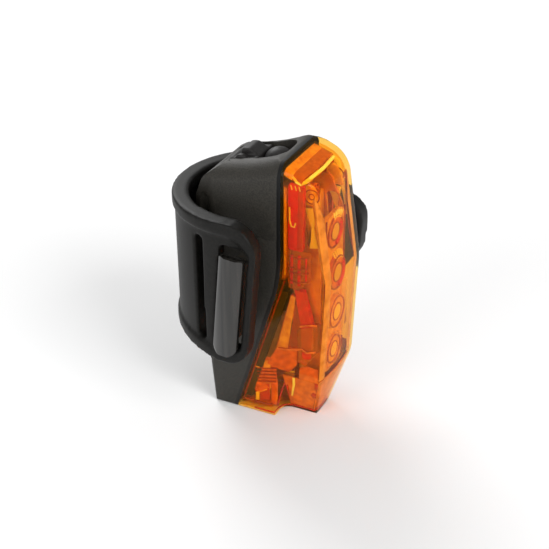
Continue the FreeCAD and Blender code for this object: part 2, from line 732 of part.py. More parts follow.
def tail_joint():
    """Where the free end bends: a point on the loop's centre line, on the +X side."""
    ahead = TAIL_JOINT_Y - STRAP_CENTRE_Y
    return math.sqrt(STRAP_R ** 2 - ahead ** 2), TAIL_JOINT_Y


def joint_cut(radius):
    """Everything on the free end's side of a plane square to the loop, radius behind the joint."""
    x, y = tail_joint()
    turn = math.degrees(math.atan2(y - STRAP_CENTRE_Y, x))
    slab = block(0, FAR, -FAR, radius, -FAR, FAR)
    slab = slab.rotated(V(0, 0, 0), V(0, 0, 1), turn)
    reach = 12.0
    back = V(math.cos(math.radians(turn)), math.sin(math.radians(turn)), 0) * -reach
    return slab.translated(V(x, y, 0) + back)


def beaded(web_faces, rim_faces, outline, middle):
    """Rubber of the strap: a web with a thicker bead along its outline."""
    web = raise_plan(web_faces).common(outline)
    bead = raise_plan(rim_faces).common(outline).cut(middle)
    return web.fuse(bead)


def make_band():
    """The strap from its near end round the back, up to where the free end bends."""
    outline = across(strap_outline(NEAR_TIP_Y, NEAR_CORNER_R), -FAR, FAR)
    middle = across(strap_outline(NEAR_TIP_Y, NEAR_CORNER_R, STRAP_RIM_H, STRAP_END_RIM), -FAR, FAR)
    front = NEAR_TIP_Y - 2
    end = beaded([loop_end(-1, STRAP_WEB / 2, front)], [loop_end(-1, STRAP_RIM / 2, front)], outline, middle)
    end = end.cut(hook_slot(-FAR, -STRAP_R + 6, HOOK_SLOT_Y0, HOOK_SLOT_BOTTOM)).cut(mirrored(bar_relief()))
    ring = beaded(loop_ring(STRAP_WEB / 2), loop_ring(STRAP_RIM / 2), outline, middle)
    for angle in (NEAR_LADDER_ANGLE,) + tuple(-a for a in FAR_LADDER_ANGLES):
        ring = ring.cut(ladder_slot(angle))
    ring = ring.cut(joint_cut(STRAP_RIM / 2 + TAIL_JOINT_GAP))
    slot = hook_slot(-FAR, -STRAP_R + 6, HOOK_SLOT_Y0, HOOK_SLOT_BOTTOM)
    return solid(on_strap(end.fuse(lean(ring).cut(slot))))


def make_tail():
    """The strap's free end: over the far hook and out to the finger tab."""
    def flare(half):
        middle = V(STRAP_R + TAIL_FLARE_R, 0, 0)
        wide = Part.Face(Part.Wire(Part.makeCircle(TAIL_FLARE_R + half, middle)))
        narrow = Part.Face(Part.Wire(Part.makeCircle(TAIL_FLARE_R - half, middle)))
        window = plan_face([(0, TAIL_TIP_Y - 5, 0), (STRAP_R + TAIL_FLARE_R / 2, TAIL_TIP_Y - 5, 0),
                            (STRAP_R + TAIL_FLARE_R / 2, 0, 0), (0, 0, 0)])
        return wide.cut(narrow).common(window).Faces + [loop_end(1, half, 0.0)]

    outline = across(tail_outline(), -FAR, FAR)
    middle = across(tail_outline(STRAP_RIM_H * 0.6, STRAP_END_RIM), -FAR, FAR)
    end = beaded(flare(STRAP_WEB / 2), flare(STRAP_RIM / 2), outline, middle)
    ring_outline = across(strap_outline(NEAR_TIP_Y, NEAR_CORNER_R), -FAR, FAR)
    ring_middle = across(strap_outline(NEAR_TIP_Y, NEAR_CORNER_R, STRAP_RIM_H, STRAP_END_RIM), -FAR, FAR)
    ring = beaded(loop_ring(STRAP_WEB / 2), loop_ring(STRAP_RIM / 2), ring_outline, ring_middle)
    x, y = tail_joint()
    turn = math.degrees(math.atan2(y - STRAP_CENTRE_Y, x))
    behind = block(-FAR, FAR, 0, FAR, -FAR, FAR).rotated(V(0, 0, 0), V(0, 0, 1), turn)
    ring = ring.cut(behind.translated(V(x, y, 0))).cut(block(-FAR, 4.0, -FAR, FAR, -FAR, FAR))
    low = band_bottom(y)
    ring = ring.fuse(Part.makeCylinder(STRAP_RIM / 2, STRAP_TOP - low, V(x, y, low)))
    tail = end.fuse(lean(ring))
    tail = tail.cut(hook_slot(STRAP_R - 6, FAR, TAIL_SLOT_Y0, TAIL_SLOT_BOTTOM)).cut(bar_relief())
    return solid(on_strap(tail))


def make_button():
    """Rubber dome with its flange below the channel floor and a core that meets the plunger."""
    flange_top = -CHANNEL_SKIN - 0.05
    flange_low = flange_top - BUTTON_FLANGE_T
    core_low = switch_top() + PLUNGER_SHOW
    rise = BUTTON_RISE * 0.35
    cap = BUTTON_RISE - rise
    ball = (BUTTON_R ** 2 + cap ** 2) / (2 * cap)
    halfway = BUTTON_R / 2
    shoulder = V(halfway, 0, BUTTON_RISE - ball + math.sqrt(ball ** 2 - halfway ** 2))
    dome = Part.Arc(V(BUTTON_R, 0, rise), shoulder, V(0, 0, BUTTON_RISE))
    roof = rise + 0.3
    corners = [
        V(0, 0, core_low), V(1.2, 0, core_low), V(1.2, 0, roof), V(BUTTON_CAVITY_R, 0, roof - 0.5),
        V(BUTTON_CAVITY_R, 0, flange_low), V(BUTTON_FLANGE_R, 0, flange_low),
        V(BUTTON_FLANGE_R, 0, flange_top), V(BUTTON_R, 0, flange_top), V(BUTTON_R, 0, rise),
    ]
    edges = [Part.LineSegment(a, b).toShape() for a, b in zip(corners, corners[1:])]
    edges.append(dome.toShape())
    edges.append(Part.LineSegment(V(0, 0, BUTTON_RISE), corners[0]).toShape())
    profile = Part.Face(Part.Wire(edges))
    return solid(on_top(profile.revolve(V(0, 0, 0), V(0, 0, 1), 360)))


def switch_top():
    """Top of the switch body in the channel's frame."""
    return board_top() + SWITCH_BODY_H


def board_top():
    return -CHANNEL_SKIN - rail_drop()


def make_plunger():
    low = switch_top() - SWITCH_BODY_H / 2 - 0.2
    return on_top(rod((0, 0, low), (0, 0, switch_top() + PLUNGER_SHOW), PLUNGER_R))


def make_switch():
    half = SWITCH_SIZE / 2
    body = block(-half, half, -half, half, board_top(), switch_top())
    well = rod((0, 0, board_top() + 0.1), (0, 0, switch_top() + 1), PLUNGER_R + BUTTON_CLEAR)
    return solid(on_top(body.cut(well)))


def make_top_board():
    face = plan_face([
        (-TOP_BOARD_HALF, TOP_BOARD_FRONT, 1.5),
        (TOP_BOARD_HALF, TOP_BOARD_FRONT, 1.5),
        (TOP_BOARD_HALF, SOCKET_U + 3.2, 1.0),
        (-TOP_BOARD_HALF, SOCKET_U + 3.2, 1.0),
    ])
    return on_top(up(face, board_top() - TOP_BOARD_T, board_top()))


def make_socket():
    """Upright charging socket: a folded shell with its tongue."""
    w, d = SOCKET_W / 2, SOCKET_D / 2
    low = board_top()
    high = low + SOCKET_H + 0.35
    shell = block(-w, w, SOCKET_U - d, SOCKET_U + d, low, high)
    t = SOCKET_WALL
    well = block(-w + t, w - t, SOCKET_U - d + t, SOCKET_U + d - t, low + 0.6, high + 1)
    tongue = block(-2.0, 2.0, SOCKET_U - 0.35, SOCKET_U + 0.35, low + 0.5, high - 0.6)
    return solid(on_top(shell.cut(well).fuse(tongue)))


def make_cover():
    """Rubber cover of the charging socket with its grip, two ears and hinge."""
    half = CHANNEL_HALF - COVER_CLEAR
    low = 0.06
    plate = block(-half, half, COVER_U0, COVER_HINGE_U, low, COVER_T)
    ear_u0, ear_u1 = COVER_HINGE_U - 4.2, COVER_HINGE_U - 0.8
    ear_face = side_face([(ear_u0, low, 0), (ear_u1, low, 0), (ear_u1, COVER_EAR_H, 1.6),
                          (ear_u0, COVER_EAR_H, 1.6)])
    grip_face = side_face([(COVER_U0, low, 0), (COVER_U0 + 5.4, low, 0),
                           (COVER_U0 + 4.7, COVER_GRIP_H, 1.0), (COVER_U0 + 2.4, COVER_GRIP_H, 1.0),
                           (COVER_U0 + 0.1, COVER_T, 0)])
    cover = plate.fuse(across(ear_face, half - 1.4, half)).fuse(across(ear_face, -half, -half + 1.4))
    cover = cover.fuse(across(grip_face, -2.8, 2.8))
    barrel = rod((-half, COVER_HINGE_U, COVER_HINGE_W), (half, COVER_HINGE_U, COVER_HINGE_W),
                 COVER_HINGE_W - low)
    plug_x = SOCKET_W / 2 + PORT_CLEAR - COVER_CLEAR
    plug_y = SOCKET_D / 2 + PORT_CLEAR - COVER_CLEAR
    plug = block(-plug_x, plug_x, SOCKET_U - plug_y, SOCKET_U + plug_y, -0.9, low + 0.5)
    cover = cover.fuse(barrel).fuse(plug)
    pin = hinge_pin()
    return solid(on_top(cover.fuse(pin).fuse(mirrored(pin))))


def make_frame():
    """Black lamp frame that follows the seam and carries the boards and laser modules."""
    slab = ahead_of_seam(FRAME_BACK).cut(ahead_of_seam(-FRAME_FRONT))
    strip = ahead_of_seam(0.0).cut(ahead_of_seam(-FRAME_FRONT_LOW))
    slab = slab.fuse(strip.common(block(-FAR, FAR, -FAR, FAR, FRAME_Z0, FRAME_STRIP_TOP)))
    slab = slab.common(envelope(HOUSING_WALL + FIT))
    slab = slab.common(block(-FAR, FAR, -FAR, FAR, FRAME_Z0, FRAME_Z1))
    back = SEAM_Y + FRAME_BACK
    for x in (-LED_SCREW_X, LED_SCREW_X):
        for z in LED_SCREW_Z:
            slab = slab.fuse(rod((x, LED_BOARD_Y, z), (x, seam_y(z) + FRAME_BACK / 2, z), SCREW_HEAD_R))
            slab = slab.cut(rod((x, LED_BOARD_Y - 1, z), (x, LED_BOARD_Y + LED_SCREW_GRIP + 0.4, z),
                                SCREW_R + 0.02))
    for x in (-MAIN_HALF + MAIN_POST_R, MAIN_HALF - MAIN_POST_R):
        for z in MAIN_POST_Z:
            slab = slab.fuse(rod((x, back - 0.5, z), (x, back + MAIN_STANDOFF, z), MAIN_POST_R))
    for x in (-BOSS_X, BOSS_X):
        for z in BOSS_Z:
            slab = slab.cut(rod((x, -FAR / 2, z), (x, 0, z), SCREW_R + 0.05))
            slab = slab.cut(rod((x, -FAR / 2, z), (x, frame_screw_y(), z), SCREW_HEAD_R + 0.05))
    barrel = rod(laser_axis(-4), laser_axis(LASER_LENGTH + 4), LASER_R + 0.05)
    slab = slab.cut(barrel).cut(mirrored(barrel))
    return solid(slab)


def frame_screw_y():
    """Where the heads of the frame screws seat, sunk into the frame's front."""
    return SEAM_Y - FRAME_FRONT + SCREW_HEAD_T


def screw(x, y, z, length):
    """Small pan head screw driven towards +Y, its head seated at y."""
    shank = rod((x, y, z), (x, y + length, z), SCREW_R)
    head = rod((x, y - SCREW_HEAD_T, z), (x, y, z), SCREW_HEAD_R)
    recess = block(x - 0.9, x + 0.9, y - SCREW_HEAD_T - 0.1, y - 0.4, z - 0.2, z + 0.2)
    recess = recess.fuse(block(x - 0.2, x + 0.2, y - SCREW_HEAD_T - 0.1, y - 0.4, z - 0.9, z + 0.9))
    return solid(head.fuse(shank).cut(recess))


def make_led_board():
    half = LED_BOARD_HALF
    face = front_face([
        (-half, LED_BOARD_Z0, 1.5), (half, LED_BOARD_Z0, 1.5),
        (half, LED_BOARD_Z1, 1.5), (-half, LED_BOARD_Z1, 1.5),
    ])
    board = along(face, LED_BOARD_Y - BOARD_T, LED_BOARD_Y)
    for x in (-LED_SCREW_X, LED_SCREW_X):
        for z in LED_SCREW_Z:
            board = board.cut(rod((x, LED_BOARD_Y - 3, z), (x, LED_BOARD_Y + 3, z), SCREW_R + 0.1))
    return solid(board)


def make_leds():
    front = LED_BOARD_Y - BOARD_T
    half = LED_SIZE / 2
    return [block(-half, half, front - LED_T, front, z - half, z + half) for z in LED_Z]


def make_optics():
    """One clear moulding: a collimator over each LED, joined by a plate on four legs."""
    board_front = LED_BOARD_Y - BOARD_T
    back = OPTIC_FRONT_Y + OPTIC_PLATE_T
    low, high = LED_Z[0] - OPTIC_R1, LED_Z[-1] + OPTIC_R1
    face = front_face([
        (-OPTIC_R1, low, 3.0), (OPTIC_R1, low, 3.0), (OPTIC_R1, high, 3.0), (-OPTIC_R1, high, 3.0),
    ])
    optics = along(face, OPTIC_FRONT_Y, back)
    start = board_front - LED_T - OPTIC_AIR
    for z in LED_Z:
        cone = Part.makeCone(OPTIC_R0, OPTIC_R1 - 0.3, start - back, V(0, start, z), V(0, -1, 0))
        optics = optics.fuse(cone)
    for x in (-OPTIC_R1 + 0.6, OPTIC_R1 - 0.6):
        for z in (LED_Z[0] + LED_PITCH / 2, LED_Z[-1] - LED_PITCH / 2):
            optics = optics.fuse(block(x - 0.6, x + 0.6, back - 0.2, board_front, z + 1.7, z + 2.9))
    for z in LED_Z:
        for r in (2.2, 4.4):
            ring = rod((0, OPTIC_FRONT_Y - 1, z), (0, OPTIC_FRONT_Y + 0.3, z), r + 0.2)
            optics = optics.cut(ring.cut(rod((0, OPTIC_FRONT_Y - 2, z), (0, OPTIC_FRONT_Y + 1, z), r - 0.2)))
    return solid(optics)


def make_main_board():
    y = SEAM_Y + FRAME_BACK + MAIN_STANDOFF
    return block(-MAIN_HALF, MAIN_HALF, y, y + BOARD_T, MAIN_Z0, MAIN_Z1)


def make_chips():
    y = SEAM_Y + FRAME_BACK + MAIN_STANDOFF + BOARD_T
    return [
        block(-2.5, 2.5, y, y + 1.1, MAIN_Z0 + 6.0, MAIN_Z0 + 10.8),
        block(-3.6, -0.6, y, y + CHIP_T, MAIN_Z0 + 1.5, MAIN_Z0 + 4.5),
        block(0.8, 3.8, y, y + 1.2, MAIN_Z0 + 1.1, MAIN_Z0 + 5.5),
    ]


def make_cell():
    half = CELL_HALF
    face = plan_face([
        (-half, CELL_Y0, CELL_R), (half, CELL_Y0, CELL_R),
        (half, CELL_Y0 + CELL_DEPTH, CELL_R), (-half, CELL_Y0 + CELL_DEPTH, CELL_R),
    ])
    return up(face, CELL_Z0, CELL_Z1)


def make_foam():
    chips_back = SEAM_Y + FRAME_BACK + MAIN_STANDOFF + BOARD_T + CHIP_T
    rear_wall = SADDLE_Y - SADDLE_T - HOUSING_WALL
    return [
        block(-4.5, 4.5, chips_back + 0.05, CELL_Y0 - 0.02, CELL_Z0 + 12, CELL_Z1 - 4),
        block(-5.0, 5.0, CELL_Y0 + CELL_DEPTH + 0.02, rear_wall - 0.05, CELL_Z0 + 4, CELL_Z1 - 6),
    ]


def make_cell_leads():
    board_back = SEAM_Y + FRAME_BACK + MAIN_STANDOFF + BOARD_T
    bend = MAIN_Z1 - 0.9
    return [tube([(x, CELL_Y0 + 3.0, CELL_Z1), (x, CELL_Y0 + 3.0, bend), (x, board_back, bend)], LEAD_R)
            for x in (-2.0, 2.0)]


def make_red_diffuser():
    """Deep red upright block beside the side wall of the lens."""
    face = side_face([(RED_Y0, RED_Z0, 0.6), (RED_Y1, RED_Z0, 0.6), (RED_Y1, RED_Z1, 1.2),
                      (RED_Y0, RED_Z1 - 0.8, 1.2)])
    shape = across(face, RED_X0, RED_X1)
    return solid(shape.common(envelope(LENS_WALL + FIT)))


def make_clip():
    """Ribbed amber block below the red diffuser."""
    x0, x1 = RED_X0, RED_X1
    face = side_face([(CLIP_Y0, CLIP_Z0 + 3.0, 0.6), (CLIP_Y0 + 3.0, CLIP_Z0, 0.6), (RED_Y1, CLIP_Z0, 0.4),
                      (RED_Y1, CLIP_Z1, 0.4), (CLIP_Y0, CLIP_Z1, 0.6)])
    shape = across(face, x0, x1 - 0.5)
    pitch = (CLIP_Z1 - CLIP_Z0) / (CLIP_RIBS + 1)
    for i in range(CLIP_RIBS):
        z = CLIP_Z0 + pitch * (i + 1)
        shape = shape.fuse(across(side_face([(CLIP_Y0 + 1.4, z - 0.8, 0.3), (RED_Y1, z - 0.8, 0.3),
                                             (RED_Y1, z + 0.8, 0.3), (CLIP_Y0 + 1.4, z + 0.8, 0.3)]),
                                  x0, x1 - 0.1))
    return solid(shape.common(envelope(LENS_WALL + FIT)))


def make_red_bar():
    """Slanting red light pipe from the clip down into its amber socket."""
    face = side_face([(-9.3, CLIP_Z0 - 0.1, 0.2), (-11.7, CLIP_Z0 - 0.1, 0.2), (-14.2, 29.0, 0.4),
                      (-14.0, 19.4, 0.8), (-11.6, 18.6, 0.8), (-11.2, 27.4, 0.4)])
    return across(face, LOW_X0 - 0.6, LOW_X0 - 0.6 + BAR_LENS_T)


def make_bar_socket():
    """Amber collar round the foot of the red light pipe, part of it in front of the bracket."""
    face = side_face([(-10.3, 27.2, 0.5), (-15.6, 29.4, 0.5), (-15.8, 21.6, 0.5), (-12.6, 17.2, 0.8),
                      (-10.4, 17.6, 0.8)])
    shape = across(face, LOW_X0 - 1.2, LOW_X1 - 0.1)
    pipe = across(side_face([(-9.3, 40.0, 0), (-11.7, 40.0, 0), (-14.2, 29.0, 0.4), (-14.0, 19.4, 0.8),
                             (-11.6, 18.6, 0.8), (-11.2, 27.4, 0.4)], -0.06), LOW_X0 - 0.68, FAR)
    shape = shape.cut(pipe.common(across(side_face([(-17, 17.9, 0), (-9, 17.9, 0), (-9, 60, 0), (-17, 60, 0)]),
                                         0, LOW_X0 - 0.6 + BAR_LENS_T + 0.06)))
    return solid(shape.common(envelope(LENS_WALL + FIT)))


def make_bracket():
    """Amber A shaped bracket between the lamp frame and the laser pod."""
    outer = side_face([(-9.1, 36.4, 0.2), (-8.2, 36.4, 0.2), (-4.2, 19.6, 0.5), (-1.6, 14.6, 0.5),
                       (-7.6, 13.4, 0.5), (-10.0, 16.4, 0.6), (-10.1, 28.0, 0.6)])
    window = side_face([(-8.7, 32.8, 0.2), (-6.9, 21.4, 0.3), (-9.0, 21.4, 0.3)])
    plate = across(outer, LOW_X0 - 0.4, LOW_X0 - 0.4 + BRACKET_T)
    return solid(plate.cut(across(window, 0, FAR)).common(envelope(LENS_WALL + FIT)))


def make_reflector():
    """Bright plate beside the LED optics with an arched window."""
    outer = side_face([(-15.4, 14.5, 1.0), (-10.8, 14.5, 1.0), (-7.5, 40.0, 2.0), (-7.5, RED_Z1 - 5.2, 1.0),
                       (-11.6, RED_Z1 - 2.8, 1.5), (-15.2, RED_Z1 - 11.2, 1.5)])
    low, high = RED_Z0 + 0.2, RED_Z1 - 8.0
    window = side_face([(-13.6, low, 0.6), (-11.6, low, 0.6), (-10.9, high, 1.3), (-14.2, high, 1.3)])
    plate = across(outer, OPTIC_R1 + 0.3, OPTIC_R1 + 0.9)
    return solid(plate.cut(across(window, 0, FAR)))


def make_laser_module():
    front, rear = laser_axis(0.0), laser_axis(LASER_LENGTH)
    barrel = rod(front, rear, LASER_R)
    well = rod(laser_axis(-1), laser_axis(2.2), LASER_LENS_R + 0.02)
    return solid(barrel.cut(well))


def make_laser_lens():
    return rod(laser_axis(0.6), laser_axis(0.6 + LASER_LENS_T), LASER_LENS_R)


def make_laser_collar():
    ring = rod(laser_axis(0.4), laser_axis(0.4 + COLLAR_LENGTH), LASER_R + COLLAR_T)
    groove = rod(laser_axis(1.6), laser_axis(2.2), LASER_R + COLLAR_T + 1)
    groove = groove.cut(rod(laser_axis(0), laser_axis(4), LASER_R + COLLAR_T * 0.5))
    bore = rod(laser_axis(-2), laser_axis(LASER_LENGTH), LASER_R + 0.02)
    ring = ring.cut(groove).cut(bore).common(envelope(LENS_WALL + FIT))
    return solid(ring.cut(ahead_of_seam(FRAME_BACK).cut(ahead_of_seam(-FRAME_FRONT_LOW))))


def make_driver_board():
    return block(-DRIVER_HALF, DRIVER_HALF, DRIVER_Y, DRIVER_Y + TOP_BOARD_T, DRIVER_Z0, DRIVER_Z1)


def make_laser_leads():
    """Two short leads from the rear of each laser module to its board."""
    leads = []
    aim = V(*LASER_AIM)
    aside = aim.cross(V(0, 0, 1)).normalize()
    rear = V(*laser_axis(LASER_LENGTH))
    bend = V(*laser_axis(LASER_LENGTH + 2.2))
    for offset in (-0.8, 0.8):
        a = rear + aside * offset
        b = bend + aside * offset
        lead = tube([tuple(a), tuple(b), (b.x, DRIVER_Y - 0.02, b.z)], LEAD_R)
        leads += [lead, mirrored(lead)]
    return leads


os.makedirs("parts", exist_ok=True)
save("rear_housing", make_housing())
save("lens", make_lens())
save("lens_gasket", make_gasket())
save("post_saddle", make_saddle())
save_pair("strap_hook", make_hook())
save("strap_band", make_band())
save("strap_tail", make_tail())
save("power_button", make_button())
save("switch_plunger", make_plunger())
save("tact_switch", make_switch())
save("top_board", make_top_board())
save("usb_socket", make_socket())
save("usb_cover", make_cover())
save("lamp_frame", make_frame())
frame_screw_length = FRAME_FRONT + FRAME_BACK - SCREW_HEAD_T + BOSS_DEPTH - 1.5
save("frame_screws", *[screw(x, frame_screw_y(), z, frame_screw_length)
                       for x in (-BOSS_X, BOSS_X) for z in BOSS_Z])
save("led_board", make_led_board())
save("led_board_screws", *[screw(x, LED_BOARD_Y - BOARD_T, z, BOARD_T + LED_SCREW_GRIP)
                           for x in (-LED_SCREW_X, LED_SCREW_X) for z in LED_SCREW_Z])
save("leds", *make_leds())
save("led_optics", make_optics())
save("main_board", make_main_board())
save("board_chips", *make_chips())
save("battery_cell", make_cell())
save("battery_foam", *make_foam())
save("battery_leads", *make_cell_leads())
save_pair("red_diffuser", make_red_diffuser())
save_pair("diffuser_clip", make_clip())
save_pair("red_light_pipe", make_red_bar())
save_pair("pipe_socket", make_bar_socket())
save_pair("laser_bracket", make_bracket())
save_pair("side_reflector", make_reflector())
save_pair("laser_module", make_laser_module())
save_pair("laser_lens", make_laser_lens())
save_pair("laser_collar", make_laser_collar())
save("laser_board", make_driver_board())
save("laser_leads", *make_laser_leads())
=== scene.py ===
"""Looks of the bicycle tail light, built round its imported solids. Metres, Z up, lens towards -Y."""

import math

import bmesh
import bpy
from mathutils import Matrix, Vector


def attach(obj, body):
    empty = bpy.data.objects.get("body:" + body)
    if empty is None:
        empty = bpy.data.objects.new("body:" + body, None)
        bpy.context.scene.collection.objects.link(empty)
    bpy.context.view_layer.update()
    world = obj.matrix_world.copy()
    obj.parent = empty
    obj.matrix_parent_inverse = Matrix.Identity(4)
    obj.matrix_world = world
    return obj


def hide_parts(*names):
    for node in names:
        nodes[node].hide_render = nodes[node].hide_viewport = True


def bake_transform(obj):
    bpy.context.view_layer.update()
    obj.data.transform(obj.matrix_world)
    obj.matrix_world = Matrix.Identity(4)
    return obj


MM = 0.001
WELD = 0.001 * MM                  # points nearer than this are one point
SIDES = (("right", 1), ("left", -1))
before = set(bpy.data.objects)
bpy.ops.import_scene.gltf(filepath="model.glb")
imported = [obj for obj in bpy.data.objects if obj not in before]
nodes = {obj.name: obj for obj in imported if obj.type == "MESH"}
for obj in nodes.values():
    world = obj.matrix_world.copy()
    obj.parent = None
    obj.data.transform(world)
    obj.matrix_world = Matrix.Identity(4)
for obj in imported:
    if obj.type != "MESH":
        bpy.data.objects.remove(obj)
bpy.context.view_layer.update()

# Camera of the photograph
AIM = Vector((-0.54, 0.0, 36.0)) * MM
VIEW_DOWN = math.radians(29.7)
VIEW_TURN = math.radians(26.0)     # the camera stands this far off the -X axis, towards the lens
DISTANCE = 350 * MM
FOCAL_PIXELS = 1400.0
PICTURE = 549.0                    # width of the photograph in pixels
SENSOR = 36.0

# Strap, as in the solids
PIVOT = Vector((0.0, 2.7, 40.0)) * MM
STRAP_R = 20.4 * MM
STRAP_WEB = 3.0 * MM
STRAP_RIM = 4.2 * MM
STRAP_RIM_H = 3.0 * MM
STRAP_TOP = 19.8 * MM
STRAP_BOTTOM = -18.2 * MM
STRAP_BACK_RISE = 3.4 * MM         # the loop is this much narrower at the back
STRAP_RISE_FROM = 3.0 * MM         # and starts to narrow this far behind its middle
LOOP_TILT = math.radians(4.8 - 5.8)
BRIDGE_ANGLES = (12.0, 28.0)       # degrees of the loop between which its free end bends
BRIDGE_RINGS = 13
BEND_START = Vector((16.0, 10.2, 0.0)) * MM    # in the loop's own place, like the end of the bend
BEND_END = Vector((20.4, 2.6, 0.0)) * MM
HOOK_BAR_X = 21.8 * MM             # the bar of a hook lies outside this

# Outside of the lens, in mm as in the solids
CHIN_TOP = 13.6                    # below this height the front slants back to the foot
WIDEST_Z = 42.0                    # height at which the front stands out most
FRONT_EDGE = ((0.0, -12.9), (CHIN_TOP, -17.3), (WIDEST_Z, -18.7), (67.0, -15.2))
FOOT_HALF = 9.7                    # half width at the foot
HALF_GAIN = 1.1                    # gained up to the height below
HALF_FULL_Z = 56.0
INSIDE = 1.7                       # from the outside to just inside the wall
FRONT_BULGE = 0.8                  # of the front wall at its middle
ROOF_BULGE = 0.7
SEAM_FOOT_Y = 6.2                  # seam with the housing: slanting below, upright above
SEAM_TOP_Y = -6.5
SEAM_KINK_Z = 40.6

# Amber sheets that stand for light in the lens wall
SHEET = 0.35
ROOF_SHEET = 0.4
ROOF_HALF = 9.0
ROOF_STEPS = 24
ROOF_CORNER = 2.2                  # radius of the roof's long corners
ROOF_CORNER_X = 7.2
FLANK = 3.1                        # the flanks of the column start this far out at the foot
FLARE = 0.42                       # and lean out by this much for each mm of height
BEHIND_FRONT = 0.9                 # from the outside of the front wall to the sheets behind it
SHEET_FOOT = 0.6                   # lower end of the sheets
CHIN_SHEET_TOP = 13.2
CHIN_SHEET_HALF = 9.0
FLANK_SHEET_TOP = 12.6
NOTCH_Y = -6.1                     # the notch between column and pod starts here
CORNER_TOP = 58.0                  # top of the corner sheets at their front edge
CORNER_RISE = 2.7                  # and its rise for each mm towards the side
CORNER_NARROW_Z = 38.0             # below this the corner sheets are at their narrowest
CORNER_WIDE_Z = 46.0               # and above this at their full width
CORNER_NARROWEST = 0.25
BOTTOM_SHEET = (0.30, 0.45)        # heights of its two faces

# LED column: height, front and radius of each ring
RINGS = ((18.4, -16.15, 3.9), (29.5, -16.8, 4.3), (40.6, -16.8, 4.5), (51.7, -15.95, 4.3))
TOOTHED = 40.0                     # the LEDs above this height have teeth, bands and ruled centres
CUP_BACK = -15.7
TOOTH_FOOT = -15.9
RULE_PITCH = 0.7
TEETH = 6
TOOTH_START, TOOTH_STEP = 48, 11   # degrees

RELIEF = 0.1 * MM                  # depth of a surface's grain

# Studio
ROOM_LIGHT = 0.42                  # strength of the white room on surfaces; it is seen at full white


def finish(name, base, second, grain, rough, bump=0.0, stretch=(1, 1, 1), contrast=(0.35, 0.65), **sockets):
    """A surface whose colour wanders between two tones, with a grain of the given size in mm.

    rough holds the least and the most roughness, contrast where on the noise the two tones are reached.
    """
    mat = bpy.data.materials.new(name)
    mat.use_nodes = True
    tree = mat.node_tree
    shader = tree.nodes["Principled BSDF"]
    place = tree.nodes.new("ShaderNodeTexCoord")
    turn = tree.nodes.new("ShaderNodeMapping")
    turn.inputs["Scale"].default_value = stretch
    tree.links.new(place.outputs["Object"], turn.inputs["Vector"])
    noise = tree.nodes.new("ShaderNodeTexNoise")
    noise.inputs["Scale"].default_value = 1 / (grain * MM)
    noise.inputs["Detail"].default_value = 3.0
    tree.links.new(turn.outputs["Vector"], noise.inputs["Vector"])
    ramp = tree.nodes.new("ShaderNodeValToRGB")
    ramp.color_ramp.elements[0].position = contrast[0]
    ramp.color_ramp.elements[0].color = (*base, 1)
    ramp.color_ramp.elements[1].position = contrast[1]
    ramp.color_ramp.elements[1].color = (*second, 1)
    tree.links.new(noise.outputs["Fac"], ramp.inputs["Fac"])
    tree.links.new(ramp.outputs["Color"], shader.inputs["Base Color"])
    sheen = tree.nodes.new("ShaderNodeMapRange")
    sheen.inputs["To Min"].default_value = rough[0]
    sheen.inputs["To Max"].default_value = rough[1]
    tree.links.new(noise.outputs["Fac"], sheen.inputs["Value"])
    tree.links.new(sheen.outputs["Result"], shader.inputs["Roughness"])
    if bump:
        relief = tree.nodes.new("ShaderNodeBump")
        relief.inputs["Strength"].default_value = bump
        relief.inputs["Distance"].default_value = RELIEF
        tree.links.new(noise.outputs["Fac"], relief.inputs["Height"])
        tree.links.new(relief.outputs["Normal"], shader.inputs["Normal"])
    for socket, value in sockets.items():
        shader.inputs[socket.replace("_", " ")].default_value = value
    return mat


satin_shell = finish("satin_shell", (0.016, 0.0145, 0.0115), (0.036, 0.032, 0.025), 0.32, (0.44, 0.60), 0.4,
                     Specular_IOR_Level=0.35)
strap_rubber = finish("strap_rubber", (0.0040, 0.0037, 0.0031), (0.009, 0.0083, 0.007), 0.7, (0.42, 0.54),
                      0.10, Specular_IOR_Level=0.18)
saddle_rubber = finish("saddle_rubber", (0.006, 0.0055, 0.005), (0.014, 0.013, 0.012), 0.5, (0.60, 0.80), 0.3,
                       Specular_IOR_Level=0.3)
button_rubber = finish("button_rubber", (0.009, 0.008, 0.0075), (0.018, 0.016, 0.015), 0.5, (0.40, 0.55),
                       0.12, Specular_IOR_Level=0.3)
seal_rubber = finish("seal_rubber", (0.014, 0.012, 0.010), (0.022, 0.019, 0.015), 0.6, (0.45, 0.60), 0.1,
                     Specular_IOR_Level=0.25)
# Partly painted reflection: the grain, stretched upright, paints dark and bright vertical streaks for the
# bar's reflections; its gloss is its own
glossy_bar = finish("glossy_bar", (0.005, 0.0045, 0.004), (0.022, 0.020, 0.017), 0.9, (0.08, 0.18),
                    0.10, (1, 1, 0.03), Specular_IOR_Level=0.45, Coat_Weight=0.4, Coat_Roughness=0.05)
amber_lens = finish("amber_lens", (0.94, 0.54, 0.08), (0.98, 0.58, 0.10), 9.0, (0.01, 0.03), 0.0,
                    Transmission_Weight=0.98, IOR=1.03, Coat_Weight=0.22, Coat_Roughness=0.02)
clear_optic = finish("clear_optic", (1.0, 0.78, 0.34), (1.0, 0.84, 0.42), 4.0, (0.02, 0.06), 0.0,
                     Transmission_Weight=1.0, IOR=1.3)
clear_amber = finish("clear_amber", (0.92, 0.42, 0.08), (1.0, 0.52, 0.12), 2.0, (0.03, 0.08), 0.0,
                     Transmission_Weight=0.75, IOR=1.2)
deep_red = finish("deep_red", (0.58, 0.001, 0.03), (0.78, 0.002, 0.05), 2.0, (0.10, 0.18), 0.05,
                  Coat_Weight=0.2, Coat_Roughness=0.06)
orange = finish("orange", (0.56, 0.098, 0.010), (0.82, 0.205, 0.028), 1.6, (0.12, 0.22), 0.05,
                Coat_Weight=0.5, Coat_Roughness=0.1)
